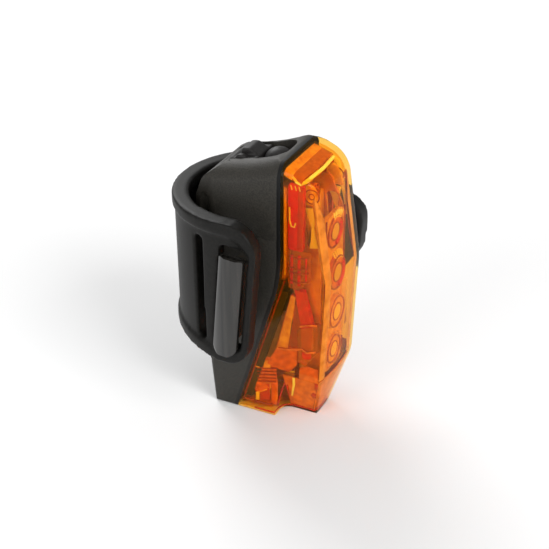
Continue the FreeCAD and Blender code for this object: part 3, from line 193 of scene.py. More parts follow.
burnt_orange = finish("burnt_orange", (0.40, 0.085, 0.010), (0.54, 0.135, 0.018), 1.4, (0.12, 0.22), 0.05,
                      Coat_Weight=0.5, Coat_Roughness=0.1)
golden = finish("golden", (0.80, 0.36, 0.04), (1.0, 0.68, 0.13), 1.8, (0.12, 0.22), 0.05,
                Coat_Weight=0.6, Coat_Roughness=0.06)
bright_yellow = finish("bright_yellow", (1.0, 0.95, 0.40), (1.0, 1.0, 0.55), 1.6, (0.12, 0.22), 0.05,
                       Coat_Weight=0.6, Coat_Roughness=0.06)
pale_amber = finish("pale_amber", (0.56, 0.20, 0.06), (0.76, 0.34, 0.14), 2.6, (0.12, 0.22), 0.05)
dark_red = finish("dark_red", (0.42, 0.003, 0.006), (0.56, 0.005, 0.010), 2.0, (0.10, 0.18), 0.05,
                  Coat_Weight=0.6, Coat_Roughness=0.06)
pale_glint = finish("pale_glint", (1.0, 0.96, 0.92), (1.0, 1.0, 1.0), 2.0, (0.10, 0.18))
dark_amber = finish("dark_amber", (0.26, 0.020, 0.006), (0.42, 0.045, 0.010), 1.2, (0.15, 0.25), 0.05,
                    Coat_Weight=0.5, Coat_Roughness=0.1)
olive = finish("olive", (0.12, 0.055, 0.010), (0.19, 0.09, 0.015), 1.6, (0.15, 0.25), 0.05,
               Coat_Weight=0.4, Coat_Roughness=0.1)
warm_mirror = finish("warm_mirror", (0.72, 0.27, 0.04), (0.90, 0.42, 0.08), 2.4, (0.12, 0.22), 0.05,
                     Metallic=0.3)
white_mask = finish("white_mask", (0.80, 0.42, 0.10), (0.90, 0.52, 0.16), 1.2, (0.25, 0.40), 0.05)
green_mask = finish("green_mask", (0.015, 0.09, 0.04), (0.03, 0.16, 0.08), 0.8, (0.25, 0.40), 0.1)
frame_black = finish("frame_black", (0.012, 0.010, 0.009), (0.03, 0.025, 0.02), 0.5, (0.45, 0.60), 0.2)
chip_black = finish("chip_black", (0.012, 0.012, 0.013), (0.03, 0.03, 0.03), 0.3, (0.50, 0.65), 0.2)
led_yellow = finish("led_yellow", (1.0, 0.78, 0.18), (1.0, 0.88, 0.35), 0.5, (0.20, 0.35), 0.1)
screw_steel = finish("screw_steel", (0.45, 0.45, 0.46), (0.62, 0.62, 0.63), 0.3, (0.25, 0.45), 0.1,
                     (1, 1, 0.2), Metallic=1.0)
socket_steel = finish("socket_steel", (0.50, 0.50, 0.50), (0.66, 0.66, 0.67), 0.4, (0.20, 0.35), 0.1,
                      Metallic=1.0)
cell_foil = finish("cell_foil", (0.30, 0.32, 0.35), (0.42, 0.44, 0.47), 1.5, (0.30, 0.45), 0.4,
                   Metallic=0.8)
soft_foam = finish("soft_foam", (0.03, 0.03, 0.035), (0.07, 0.07, 0.08), 0.4, (0.85, 1.0), 1.0)
red_wire = finish("red_wire", (0.30, 0.01, 0.01), (0.42, 0.02, 0.02), 0.8, (0.35, 0.50), 0.1)


def tone_above(mat, height, fade, colour):
    """Gives the part of a moulding above a height in mm another colour."""
    tree = mat.node_tree
    shader = tree.nodes["Principled BSDF"]
    under = shader.inputs["Base Color"].links[0].from_socket
    place = tree.nodes.new("ShaderNodeTexCoord")
    split = tree.nodes.new("ShaderNodeSeparateXYZ")
    tree.links.new(place.outputs["Object"], split.inputs["Vector"])
    level = tree.nodes.new("ShaderNodeMapRange")
    level.inputs["From Min"].default_value = height * MM
    level.inputs["From Max"].default_value = (height + fade) * MM
    tree.links.new(split.outputs["Z"], level.inputs["Value"])
    mix = tree.nodes.new("ShaderNodeMix")
    mix.data_type = "RGBA"
    share, low, high, result = 0, 6, 7, 2      # places of the colour sockets
    mix.inputs[high].default_value = (*colour, 1)
    tree.links.new(level.outputs["Result"], mix.inputs[share])
    tree.links.new(under, mix.inputs[low])
    tree.links.new(mix.outputs[result], shader.inputs["Base Color"])


# Painted light: the black lamp frame is painted bright orange above 40 mm, standing in for light gathered in
# the amber lens
tone_above(frame_black, 40.0, 1.0, (0.72, 0.25, 0.03))
# Painted shade: the gasket is painted near black above 40 mm, fading in over 8 mm
tone_above(seal_rubber, 40.0, 8.0, (0.004, 0.004, 0.004))

dressing = {
    satin_shell: ["rear_housing", "strap_hook_right", "strap_hook_left"],
    seal_rubber: ["lens_gasket"],
    saddle_rubber: ["post_saddle"],
    amber_lens: ["lens"],
    golden: ["led_optics", "laser_module_right", "laser_module_left"],
    clear_optic: ["laser_lens_right", "laser_lens_left"],
    clear_amber: ["diffuser_clip_right", "diffuser_clip_left", "pipe_socket_right", "pipe_socket_left"],
    deep_red: ["red_diffuser_right", "red_diffuser_left", "red_light_pipe_right", "red_light_pipe_left"],
    orange: ["laser_bracket_right", "laser_bracket_left", "laser_collar_right", "laser_collar_left"],
    warm_mirror: ["side_reflector_right", "side_reflector_left"],
    white_mask: ["led_board"],
    green_mask: ["top_board", "main_board", "laser_board"],
    frame_black: ["lamp_frame", "switch_plunger", "tact_switch"],
    chip_black: ["board_chips"],
    led_yellow: ["leds"],
    screw_steel: ["frame_screws", "led_board_screws"],
    socket_steel: ["usb_socket"],
    cell_foil: ["battery_cell"],
    soft_foam: ["battery_foam"],
    red_wire: ["battery_leads", "laser_leads"],
}


def dress(obj, mat):
    """Gives an object one material, in place of any it has."""
    if obj.data.materials:
        for i in range(len(obj.data.materials)):
            obj.data.materials[i] = mat
    else:
        obj.data.materials.append(mat)
    for slot in obj.material_slots:
        slot.material = mat


for mat, names in dressing.items():
    for name in names:
        dress(nodes[name], mat)


def polish_bar(name):
    """Gives the upright bar of a hook its gloss, while its plate stays like the housing."""
    hook = nodes[name]
    hook.data.materials.append(glossy_bar)
    hook.material_slots[1].material = glossy_bar
    for polygon in hook.data.polygons:
        if abs(polygon.center.x) > HOOK_BAR_X:
            polygon.material_index = 1


def smoothed(obj):
    """Merges doubled points, so that edges are found, and shades the faces smooth."""
    weld = obj.modifiers.new("weld", "WELD")
    weld.merge_threshold = WELD
    for polygon in obj.data.polygons:
        polygon.use_smooth = True


def soften(name, width, angle=32):
    """Rounds the sharp edges of a solid a little, as a mould leaves them."""
    obj = nodes[name]
    smoothed(obj)
    bevel = obj.modifiers.new("edges", "BEVEL")
    bevel.width = width * MM
    bevel.segments = 3
    bevel.limit_method = "ANGLE"
    bevel.angle_limit = math.radians(angle)
    bevel.use_clamp_overlap = True


def crease(name, angle=30):
    """Keeps the edges of a clear solid crisp and its curved faces smooth."""
    obj = nodes[name]
    smoothed(obj)
    split = obj.modifiers.new("creases", "EDGE_SPLIT")
    split.split_angle = math.radians(angle)
    split.use_edge_sharp = False


def gathered(parts):
    """One mesh of several meshes, with doubles merged."""
    bm = bmesh.new()
    for mesh in parts:
        bm.from_mesh(mesh)
    bmesh.ops.remove_doubles(bm, verts=bm.verts, dist=WELD)
    mesh = bpy.data.meshes.new("gathered")
    bm.to_mesh(mesh)
    bm.free()
    return mesh


def placed(name, mesh):
    """A new object with its origin at the frame's."""
    obj = bpy.data.objects.new(name, mesh)
    bpy.context.scene.collection.objects.link(obj)
    return obj


def melted(obj, voxel, rounds):
    """Melts the edges of a rubber part round, with voxels of a size in mm, and makes its mesh final."""
    melt = obj.modifiers.new("melt", "REMESH")
    melt.mode = "VOXEL"
    melt.voxel_size = voxel * MM
    melt.use_smooth_shade = True
    ease = obj.modifiers.new("ease", "SMOOTH")
    ease.factor = 0.5
    ease.iterations = rounds
    bpy.context.view_layer.update()
    graph = bpy.context.evaluated_depsgraph_get()
    mesh = bpy.data.meshes.new_from_object(obj.evaluated_get(graph))
    obj.modifiers.clear()
    obj.data = mesh


def loop_place():
    """From the upright loop, its centre at the origin, to its place."""
    return Matrix.Translation(PIVOT) @ Matrix.Rotation(LOOP_TILT, 4, "X")


def bend_bridge():
    """The stretch of strap that spans the bend, with its two beads."""
    bm = bmesh.new()
    half_web, half_rim = STRAP_WEB / 2, STRAP_RIM / 2
    first, last = BRIDGE_ANGLES
    rings = []
    for step in range(BRIDGE_RINGS):
        angle = math.radians(first + (last - first) * step / (BRIDGE_RINGS - 1))
        behind = max(0.0, STRAP_R * math.sin(angle) - STRAP_RISE_FROM)
        low, high = STRAP_BOTTOM + behind * STRAP_BACK_RISE / STRAP_R, STRAP_TOP
        section = [
            (-half_rim, low), (half_rim, low), (half_rim, low + STRAP_RIM_H),
            (half_web, low + STRAP_RIM_H), (half_web, high - STRAP_RIM_H),
            (half_rim, high - STRAP_RIM_H), (half_rim, high), (-half_rim, high),
            (-half_rim, high - STRAP_RIM_H), (-half_web, high - STRAP_RIM_H),
            (-half_web, low + STRAP_RIM_H), (-half_rim, low + STRAP_RIM_H),
        ]
        rings.append([bm.verts.new(((STRAP_R + r) * math.cos(angle), (STRAP_R + r) * math.sin(angle), z))
                      for r, z in section])
    add_tube(bm, rings)
    bmesh.ops.recalc_face_normals(bm, faces=bm.faces)
    bm.transform(loop_place())
    mesh = bpy.data.meshes.new("bend_bridge")
    bm.to_mesh(mesh)
    bm.free()
    return mesh


def make_strap():
    """The whole strap in one smooth piece of rubber that bends at its free end."""
    mesh = gathered([nodes["strap_band"].data, nodes["strap_tail"].data, bend_bridge()])
    strap = placed("rubber_strap", mesh)
    melted(strap, 0.42, 7)
    dress(strap, strap_rubber)
    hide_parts("strap_band", "strap_tail")
    # the two ends of the line of the bend, in place; nothing further is done with them
    start, end = loop_place() @ BEND_START, loop_place() @ BEND_END
    tuple(start)
    tuple(end)
    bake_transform(strap)


def make_soft(name, node, body, rounds):
    """A small rubber part, its edges melted round."""
    part = placed(name, gathered([nodes[node].data]))
    melted(part, 0.2, rounds)
    dress(part, button_rubber)
    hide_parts(node)
    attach(part, body)


# Closed shapes, from rings and grids of points
def add_tube(bm, rings, closed=False):
    """Joins rings of points by faces, and closes the ends unless the tube runs in a circle."""
    pairs = list(zip(rings, rings[1:]))
    if closed:
        pairs.append((rings[-1], rings[0]))
    else:
        bm.faces.new(rings[0])
        bm.faces.new(rings[-1])
    for near, far in pairs:
        for i in range(len(near)):
            k = (i + 1) % len(near)
            bm.faces.new((near[i], near[k], far[k], far[i]))


def add_skin(bm, front, back):
    """Joins two grids of points to a closed skin."""
    rows, columns = len(front) - 1, len(front[0]) - 1
    for grid in (front, back):
        for i in range(rows):
            for k in range(columns):
                bm.faces.new((grid[i][k], grid[i][k + 1], grid[i + 1][k + 1], grid[i + 1][k]))
    for i in range(rows):
        for k in (0, columns):
            bm.faces.new((front[i][k], front[i + 1][k], back[i + 1][k], back[i][k]))
    for k in range(columns):
        for i in (0, rows):
            bm.faces.new((front[i][k], front[i][k + 1], back[i][k + 1], back[i][k]))


# Mouldings inside the lens, drawn in mm
def add_plate(bm, outline, x0, x1):
    """A plate across X from a side outline (y, z)."""
    add_tube(bm, [[bm.verts.new((x * MM, y * MM, z * MM)) for y, z in outline] for x in (x0, x1)])


def add_disc(bm, x, y0, y1, z, radius, sides=40):
    """A round disc that faces the front."""
    angles = [math.tau * n / sides for n in range(sides)]
    add_tube(bm, [[bm.verts.new(((x + radius * math.cos(a)) * MM, y * MM, (z + radius * math.sin(a)) * MM))
                   for a in angles] for y in (y1, y0)])


def add_rod(bm, points, radii, closed=False, sides=10):
    """A round rod through points, with one radius or one for each point."""
    path = [Vector(p) * MM for p in points]
    count = len(path)
    if isinstance(radii, (int, float)):
        radii = [radii] * count
    aside = None
    rings = []
    for i, point in enumerate(path):
        before = path[i - 1] if i or closed else point
        after = path[(i + 1) % count] if i < count - 1 or closed else point
        along = (after - before).normalized()
        if aside is None:
            aside = along.orthogonal()
        aside = (aside - along * aside.dot(along)).normalized()
        third = along.cross(aside)
        rings.append([bm.verts.new(point + (aside * math.cos(t) + third * math.sin(t)) * radii[i] * MM)
                      for t in (math.tau * n / sides for n in range(sides))])
    add_tube(bm, rings, closed)


def arc_points(x, y, z, radius, start=0, end=360, steps=40):
    """Points of an arc that faces the front, angles from +X towards +Z."""
    points = steps + (end - start < 360)       # a full circle doesn't repeat its first point
    angles = [math.radians(start + (end - start) * n / steps) for n in range(points)]
    return [(x + radius * math.cos(a), y, z + radius * math.sin(a)) for a in angles]


def moulding(name, bm, mat, bevel=0.0):
    """Turns a drawn mesh into a piece of the lamp that rides with the light."""
    bmesh.ops.recalc_face_normals(bm, faces=bm.faces)
    if bevel:
        sharp = [edge for edge in bm.edges if edge.calc_face_angle(0) > 0.7]
        bmesh.ops.bevel(bm, geom=sharp, offset=bevel * MM, segments=2, profile=0.5, affect="EDGES",
                        material=-1, clamp_overlap=True)
        bmesh.ops.remove_doubles(bm, verts=bm.verts, dist=WELD)
        bmesh.ops.recalc_face_normals(bm, faces=bm.faces)
    mesh = bpy.data.meshes.new(name)
    bm.to_mesh(mesh)
    bm.free()
    mesh.polygons.foreach_set("use_smooth", [True] * len(mesh.polygons))
    mesh.set_sharp_from_angle(angle=math.radians(35))
    obj = placed(name, mesh)
    dress(obj, mat)
    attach(obj, "light")


def plates(name, outlines, x0, x1, mat, bevel=0.08):
    """The same small plates on both sides of the lamp."""
    for word, side in SIDES:
        bm = bmesh.new()
        for outline in outlines:
            add_plate(bm, outline, side * x0, side * x1)
        moulding(name + "_" + word, bm, mat, bevel)


def rods(name, paths, mat):
    """The same rods on both sides of the lamp, each a path on the right side with its radii."""
    for word, side in SIDES:
        bm = bmesh.new()
        for points, radii in paths:
            add_rod(bm, [(side * x, y, z) for x, y, z in points], radii)
        moulding(name + "_" + word, bm, mat)


# Where the walls of the lens lie
def seam_at(z):
    """Where the seam between lens and housing lies at a height."""
    if z > SEAM_KINK_Z:
        return SEAM_TOP_Y
    return SEAM_FOOT_Y + (SEAM_TOP_Y - SEAM_FOOT_Y) * z / SEAM_KINK_Z


def inner_half(z):
    """Half width just inside the lens wall at a height."""
    return FOOT_HALF + HALF_GAIN * min(z, HALF_FULL_Z) / HALF_FULL_Z - INSIDE


def bulge(x):
    """How much of its bulge a wall of the lens has at a place across, 1 at the middle."""
    return 1 - (x / FOOT_HALF) ** 2


def front_wall(x, z):
    """Where the outside of the lens's front wall lies."""
    for (low, edge_low), (high, edge_high) in zip(FRONT_EDGE, FRONT_EDGE[1:]):
        if z <= high:
            break
    edge = edge_low + (edge_high - edge_low) * (z - low) / (high - low)
    return edge - FRONT_BULGE * bulge(x)


make_strap()
make_soft("rubber_button", "power_button", "power_button", 9)
make_soft("rubber_cover", "usb_cover", "socket_cover", 20)
polish_bar("strap_hook_right")
polish_bar("strap_hook_left")
crease("lens")
for name, width in (("rear_housing", 0.35), ("strap_hook_left", 0.3), ("strap_hook_right", 0.3),
                    ("post_saddle", 0.4), ("lens_gasket", 0.15)):
    soften(name, width)


# Under the top wall of the lens, painted light and shade: a pale strip and a deep one for the bright and
# darker bands along the lens's inner top edge, and the bright line for the glow at the front edge
def roof_strip(name, profile, mat):
    """A thin strip under the roof, from a profile of (y, z, share of the front's bulge)."""
    rows = []
    for step in range(ROOF_STEPS + 1):
        x = -ROOF_HALF + 2 * ROOF_HALF * step / ROOF_STEPS
        corner = max(0.0, abs(x) - ROOF_CORNER_X)
        drop = ROOF_CORNER - math.sqrt(ROOF_CORNER ** 2 - corner ** 2)
        rows.append([Vector((x, y - ROOF_BULGE * bulge(x) * share, z - drop)) for y, z, share in profile])
    bm = bmesh.new()
    add_skin(bm, *[[[bm.verts.new((point - Vector((0, 0, depth))) * MM) for point in row] for row in rows]
                   for depth in (0.0, ROOF_SHEET)])
    moulding(name, bm, mat)


roof_strip("lens_roof_pale", [(-6.55, 69.75, 0), (-7.6, 69.35, 0), (-8.7, 68.95, 0)], golden)
roof_strip("lens_roof_deep", [(-8.7, 68.95, 0), (-9.8, 68.55, 0.5), (-11.0, 68.05, 1)], burnt_orange)

EDGE_LINE = (                      # points of the bright line, each with its radius
    (-8.6, -8.6, 68.3, 0.30), (-8.75, -9.8, 67.3, 0.45), (-8.6, -10.8, 66.9, 0.50),
    (-7.8, -11.6, 67.2, 0.52), (-6.0, -12.0, 67.5, 0.52), (0.0, -12.4, 67.55, 0.50),
    (6.0, -12.0, 67.5, 0.52), (7.8, -11.7, 67.2, 0.55), (8.2, -12.3, 66.2, 0.75),
    (8.2, -13.0, 64.0, 0.80), (8.2, -13.8, 61.0, 0.65), (8.2, -14.6, 57.0, 0.45), (8.2, -15.2, 52.5, 0.20),
)
bm = bmesh.new()
add_rod(bm, [spot[:3] for spot in EDGE_LINE], [spot[3] for spot in EDGE_LINE])
moulding("lens_edge_glow", bm, bright_yellow)


# Lines along the seam, painted glow of the lens's edge: golden above, dark amber below
def seam_line(name, gap, heights, mat):
    """A line just ahead of the seam, inside both side walls."""
    rods(name, [([(inner_half(z), seam_at(z) - gap, z) for z in heights], 0.25)], mat)


seam_line("seam_line", 0.35, (65.5, 60, 54, 48, 42), golden)
seam_line("low_seam_line", 0.40, (40, 34, 28, 22, 16, 10, 5, 1.8), dark_amber)

# LED lens rings on short cups ahead of the optics; the upper two have teeth, bands and ruled centres
cups, rings, low_cups, low_rings, centres, rules, teeth, bands = (bmesh.new() for _ in range(8))
for z, front, radius in RINGS:
    toothed = z > TOOTHED
    ring = rings if toothed else low_rings
    add_disc(cups if toothed else low_cups, 0, CUP_BACK, front + 0.1, z, radius)
    add_rod(ring, arc_points(0, front + 0.05, z, radius - 0.25), 0.24, closed=True)
    add_rod(ring, arc_points(0, front + 0.05, z, radius * 0.52), 0.18, closed=True)
    add_disc(centres, 0, front + 0.2, front - 0.05, z, radius * 0.46)
    if not toothed:
        continue
    for step in range(-2, 3):
        height = RULE_PITCH * step
        reach = math.sqrt((radius * 0.44) ** 2 - height ** 2)
        add_rod(rules, [(-reach, front - 0.05, z + height), (reach, front - 0.05, z + height)], 0.09, sides=6)
    add_rod(bands, arc_points(0, front + 0.15, z, radius * 0.76, -85, 25, 18), 0.62)
    for step in range(TEETH):
        angle = math.radians(TOOTH_START + TOOTH_STEP * step)
        add_rod(teeth, [(reach * math.cos(angle), y, z + reach * math.sin(angle))
                        for reach, y in ((radius * 0.86, front), (radius + 1.3, TOOTH_FOOT))], 0.25, sides=8)
moulding("led_cups", cups, orange)
moulding("led_rings", rings, dark_amber)
moulding("led_low_cups", low_cups, golden)
moulding("led_low_rings", low_rings, burnt_orange)
moulding("led_centres", centres, bright_yellow)
moulding("led_lines", rules, dark_amber)
rods("column_line", [([(5.3, -15.9, z) for z in (14.5, 30.0, 45.0, 56.5)], 0.22)], dark_amber)
moulding("led_teeth", teeth, bright_yellow)
moulding("led_red_bands", bands, deep_red)

# Round sensor above the LEDs
SENSOR_FACE, SENSOR_Z = -10.5, 60.0
bm = bmesh.new()
add_disc(bm, 0, -9.4, SENSOR_FACE, SENSOR_Z, 3.2)
moulding("sensor_base", bm, orange, 0.15)
bm = bmesh.new()
add_rod(bm, arc_points(0, SENSOR_FACE, SENSOR_Z, 1.7), 0.22, closed=True)
for x, y, z in arc_points(0, SENSOR_FACE, SENSOR_Z, 2.6, steps=12):
    add_rod(bm, [(x, y + 0.1, z), (x, y - 0.15, z)], 0.24, sides=8)
moulding("sensor_dots", bm, dark_amber)

# Bright plates beside the LED column, the waisted light guide and the ringed block above it
GUIDE_EYE_Y, GUIDE_EYE_Z = -12.8, 63.3
# Painted light: bright yellow plates beside the LED column, standing in for light seen there
plates("column_glow_strip", [[(-15.75, 37.0), (-17.0, 36.4), (-17.0, 30.0), (-16.2, 19.5), (-15.75, 19.5)]],
       5.05, 5.3, bright_yellow)
plates("light_guide", [[(-10.9, 59.9), (-14.2, 60.4), (-13.9, 57.6), (-13.5, 55.4), (-14.0, 52.6),
                        (-14.7, 50.0), (-12.4, 49.5), (-12.7, 52.4), (-12.8, 55.2), (-12.0, 57.6)]],
       6.2, 7.0, bright_yellow, 0.15)
plates("guide_block", [[(-10.4, 60.9), (-14.9, 60.9), (-14.4, 63.2), (-13.4, 65.4), (-12.2, 66.3),
                        (-10.6, 65.6)]],
       6.2, 6.9, golden, 0.15)
rods("guide_ring", [([(6.95, GUIDE_EYE_Y + radius * math.cos(a), GUIDE_EYE_Z + radius * math.sin(a))
                      for a in (math.tau * n / 24 for n in range(25))], 0.14) for radius in (0.7, 1.8)],
     dark_amber)

# Red upright: its shaded half and the glints at its top
plates("red_shade", [[(-10.0, 49.6), (-11.4, 49.6), (-11.4, 65.4), (-10.2, 66.2)]],
       8.78, 8.86, dark_red, 0.03)
HOOKED_GLINT = ((-8.0, 60.5), (-8.1, 57.0), (-8.5, 55.6), (-9.3, 55.5), (-9.6, 56.6))
rods("red_glints", [([(8.9, y, 66.3), (8.9, y - 0.35, 65.2)], 0.13) for y in (-8.3, -9.4, -10.4)]
     + [([(8.9, y, z) for y, z in HOOKED_GLINT], 0.2)], pale_glint)

# Cup under the red upright: red bars and ribs
plates("cup_bars", [[(-8.3, 47.8), (-9.0, 47.9), (-9.0, 40.0), (-8.3, 39.9)],
                    [(-10.2, 48.0), (-11.0, 48.1), (-11.0, 39.6), (-10.2, 39.7)],
                    [(-12.2, 47.6), (-12.7, 47.5), (-12.7, 41.6), (-12.2, 41.2)]],
       8.7, 8.85, deep_red, 0.05)
rods("cup_ribs", [([(8.9, -7.9, z), (9.0, -10.5, z - 0.4), (8.8, -13.1, z + 0.4)], 0.16)
                  for z in (47.6, 44.6, 43.4, 41.0)], dark_amber)

# Bracket: bright leg, dark window, crossbar, olive wedge beside the frame's edge, lips of the socket
plates("bracket_leg", [[(-8.3, 36.2), (-9.6, 36.0), (-7.5, 20.8), (-4.5, 19.8)]], 8.3, 8.42, golden)
plates("bracket_window", [[(-9.7, 34.6), (-10.0, 34.4), (-11.0, 28.0), (-11.0, 21.8), (-7.6, 21.0)]],
       8.3, 8.36, dark_amber, 0.02)
rods("bracket_crossbar", [([(8.5, -4.9, 20.2), (8.5, -8.0, 20.6), (8.4, -11.2, 21.6)], 0.35)],
     orange)
plates("frame_wedge", [[(-6.9, 31.0), (-6.0, 31.0), (-1.4, 16.4), (-2.6, 16.3), (-4.2, 19.6)]],
       7.6, 7.9, olive)
rods("socket_lips", [([(8.85, -11.0, 28.3), (8.9, -13.2, 29.3), (8.75, -15.5, 29.6)], 0.28),
                     ([(8.8, -11.4, 22.0), (8.85, -13.0, 21.2), (8.7, -15.2, 21.9)], 0.24)], orange)


# Amber sheets against the slanting chin, the flanks of the column, the front corners and the bottom: painted
# glow for light in the lens wall, lifting what would lie in shade
def glow_skin(name, face, rows, columns, mat):
    """A thin skin over a grid of points, face(u, v) giving a point and the way its back lies."""
    bm = bmesh.new()
    grid = [[face(i / rows, k / columns) for k in range(columns + 1)] for i in range(rows + 1)]
    add_skin(bm, *[[[bm.verts.new((Vector(point) + Vector(back) * depth) * MM) for point, back in row]
                    for row in grid] for depth in (0.0, SHEET)])
    moulding(name, bm, mat)


def flank(z):
    """How far out the flank of the column lies at a height."""
    return FLANK + FLARE * z


def down_from(top, u):
    """Height of a share u of the way from a sheet's top to its foot."""
    return top - (top - SHEET_FOOT) * u


def chin_face(u, v):
    """The slanting chin, from side to side."""
    z = down_from(CHIN_SHEET_TOP, u)
    x = min(CHIN_SHEET_HALF, flank(z) + 0.1) * (2 * v - 1)
    return (x, front_wall(x, z) + BEHIND_FRONT, z), (0, 1, 0)


def column_face(side):
    """A flank of the column, from behind the front wall back to the notch of the pod."""
    def face(u, v):
        z = down_from(FLANK_SHEET_TOP, u)
        x = flank(z)
        front = front_wall(x, z) + BEHIND_FRONT + 0.5
        return (side * x, front + (NOTCH_Y - front) * v, z), (-side, 0, 0)
    return face


def corner_face(side):
    """A front corner of the lens, from its front wall round to the side wall."""
    plan = ((6.8, 0.0), (7.9, 0.0), (8.8, 0.1), (9.05, 0.4), (8.85, 0.8), (8.65, 1.1), (8.6, 1.3))

    def face(u, v):
        x, depth = plan[round(v * (len(plan) - 1))]
        top = CORNER_TOP + CORNER_RISE * (x - plan[0][0])
        z = top - (top - CHIN_TOP) * u
        share = (z - CORNER_NARROW_Z) / (CORNER_WIDE_Z - CORNER_NARROW_Z)
        share = min(1.0, max(CORNER_NARROWEST, share))
        return (side * x, front_wall(x, z) + BEHIND_FRONT + depth * share, z), (-0.3 * side, 0.3, 0)
    return face


def bottom_sheet(name, outline, mat):
    """A thin sheet in the bottom wall of the lens, from one half of its outline."""
    bm = bmesh.new()
    around = outline + [(-x, y) for x, y in reversed(outline)]
    add_tube(bm, [[bm.verts.new((x * MM, y * MM, z * MM)) for x, y in around] for z in BOTTOM_SHEET])
    moulding(name, bm, mat)


glow_skin("chin_glow", chin_face, 6, 12, orange)
for word, side in SIDES:
    glow_skin("column_glow_" + word, column_face(side), 6, 6, orange)
for word, side in SIDES:
    glow_skin("corner_glow_" + word, corner_face(side), 16, 6, pale_amber)
bottom_sheet("toe_glow", [(3.5, -13.2), (3.5, -6.8)], orange)
bottom_sheet("pod_glow", [(3.6, -6.4), (4.1, -5.4), (5.1, -4.6), (6.4, -4.15), (9.0, -4.15), (9.0, 6.0)],
             golden)
plates("pod_floor", [[(-2.6, 1.55), (4.9, 1.55), (4.8, 1.9), (-2.6, 1.9)]], 3.6, 7.7, orange, 0.03)

# Laser pods: ribbed block, a bright streak of painted highlight, red block, wall, knobs, and the lines along
# notch and toe
plates("pod_block", [[(0.2, 15.6), (-3.9, 17.0), (-4.2, 9.0), (1.8, 7.4), (1.6, 11.0)]],
       7.5, 7.7, orange, 0.1)
rods("pod_ribs", [([(7.95, 1.2, z), (7.95, -4.0, z + 1.3)], 0.17) for z in (8.2, 9.2, 10.2, 11.2, 12.2)],
     dark_amber)
plates("pod_highlight", [[(1.7, 6.8), (0.7, 7.0), (0.8, 2.3), (1.9, 2.1)]],
       7.45, 7.8, bright_yellow, 0.1)
plates("pod_red_block", [[(0.65, 7.2), (-2.1, 8.0), (-2.2, 3.0), (0.7, 2.2)]],
       7.4, 7.7, dark_red, 0.15)
plates("pod_wall", [[(-2.2, 8.2), (-4.0, 9.4), (-4.1, 4.0), (-3.6, 1.5), (-2.3, 1.7)]],
       6.9, 7.1, orange, 0.1)
plates("pod_knobs", [[(2.0, 12.2), (1.7, 14.8), (0.9, 15.0), (0.3, 13.3), (0.4, 12.4)],
                     [(-0.4, 12.6), (-0.8, 14.8), (-1.7, 15.3), (-2.5, 15.2), (-2.5, 13.1)]],
       7.7, 8.0, golden, 0.15)
rods("notch_line", [([(6.9, -6.9, 11.4), (6.1, -4.9, 6.3), (6.3, -3.6, 1.2)], 0.28)], dark_red)
TOE = ((8.9, 1.5), (8.9, -4.0), (6.4, -4.1), (5.1, -4.5), (4.1, -5.3), (3.5, -7.0), (3.4, -13.1),
       (0.0, -13.3))
rods("toe_line", [([(x, y, 0.5) for x, y in TOE], 0.24)], dark_red)


def column_patches(name, outlines, mat):
    """Small facets on the flanks of the column, from outlines (y, z)."""
    for word, side in SIDES:
        bm = bmesh.new()
        for outline in outlines:
            add_tube(bm, [[bm.verts.new((side * (flank(z) + out) * MM, y * MM, z * MM)) for y, z in outline]
                          for out in (0.02, 0.20)])
        moulding(name + "_" + word, bm, mat, 0.04)


# Painted highlight: a bright yellow streak on each flank of the column
column_patches("column_highlight", [[(-8.9, 12.5), (-9.6, 12.6), (-9.1, 9.6), (-7.5, 4.4), (-7.0, 4.4),
                                  (-8.3, 9.2)]], bright_yellow)
column_patches("column_red", [[(-15.0, 12.3), (-15.9, 12.3), (-15.6, 10.2), (-14.5, 9.9)],
                              [(-12.9, 6.9), (-13.9, 8.2), (-14.6, 7.4), (-13.6, 5.5)],
                              [(-6.2, 8.1), (-7.0, 8.9), (-6.4, 4.0), (-6.15, 3.2)]], dark_red)
plates("column_shoulder", [[(-10.6, 12.5), (-10.8, 15.9), (-13.0, 16.9), (-15.9, 16.6), (-16.0, 12.5)]],
       8.2, 8.35, orange)
rods("foot_line", [([(7.7, 4.4, 1.8), (7.75, 0.0, 1.7), (7.7, -2.4, 1.8), (6.4, -2.9, 1.8),
                     (4.6, -3.2, 1.8)], 0.26)], dark_amber)


# Camera, light and ground
def look(location, target):
    """The turn that points a camera or a lamp from a place at a target."""
    return (target - location).to_track_quat("-Z", "Y").to_euler()


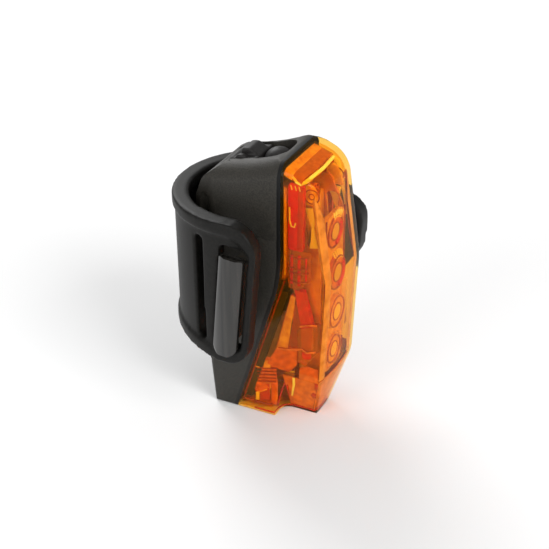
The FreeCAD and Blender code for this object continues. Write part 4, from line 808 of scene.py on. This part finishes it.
toward = Vector((
    -math.cos(VIEW_DOWN) * math.cos(VIEW_TURN),
    -math.cos(VIEW_DOWN) * math.sin(VIEW_TURN),
    math.sin(VIEW_DOWN),
))
eye = AIM + toward * DISTANCE
camera = placed("camera", bpy.data.cameras.new("camera"))
camera.location = eye
camera.rotation_euler = look(eye, AIM)
camera.data.sensor_width = SENSOR
camera.data.lens = FOCAL_PIXELS / PICTURE * SENSOR
camera.data.clip_start = 10 * MM
camera.data.clip_end = 20
bpy.context.scene.camera = camera


def softbox(name, location, size, power):
    """A rectangular lamp that shines on the middle of the light."""
    lamp = bpy.data.lights.new(name, "AREA")
    lamp.shape = "RECTANGLE"
    lamp.size, lamp.size_y = size
    lamp.energy = power
    obj = placed(name, lamp)
    obj.location = location
    obj.rotation_euler = look(Vector(location), Vector((0, 0, 0.036)))


softbox("key", (-0.35, -0.75, 0.65), (0.5, 0.5), 6.0)
softbox("fill", (-0.9, 0.35, 0.40), (0.5, 0.7), 3.0)
softbox("back", (0.5, 0.6, 0.6), (0.5, 0.5), 5.0)

world = bpy.data.worlds.new("studio")
bpy.context.scene.world = world
world.use_nodes = True
sky = world.node_tree
air = sky.nodes["Background"]
air.inputs["Color"].default_value = (1, 1, 1, 1)
rays = sky.nodes.new("ShaderNodeLightPath")
seen = sky.nodes.new("ShaderNodeMath")
seen.operation = "MAXIMUM"
sky.links.new(rays.outputs["Is Camera Ray"], seen.inputs[0])
sky.links.new(rays.outputs["Is Transmission Ray"], seen.inputs[1])
strength = sky.nodes.new("ShaderNodeMapRange")
strength.inputs["To Min"].default_value = ROOM_LIGHT
strength.inputs["To Max"].default_value = 1.0
sky.links.new(seen.outputs["Value"], strength.inputs["Value"])
sky.links.new(strength.outputs["Result"], air.inputs["Strength"])

bm = bmesh.new()
bmesh.ops.create_grid(bm, x_segments=1, y_segments=1, size=3.0)
ground_mesh = bpy.data.meshes.new("ground")
bm.to_mesh(ground_mesh)
bm.free()
ground = placed("ground", ground_mesh)
dress(ground, finish("paper", (0.93, 0.93, 0.93), (0.96, 0.96, 0.96), 400.0, (0.8, 0.9)))

bpy.context.scene.view_settings.view_transform = "Standard"
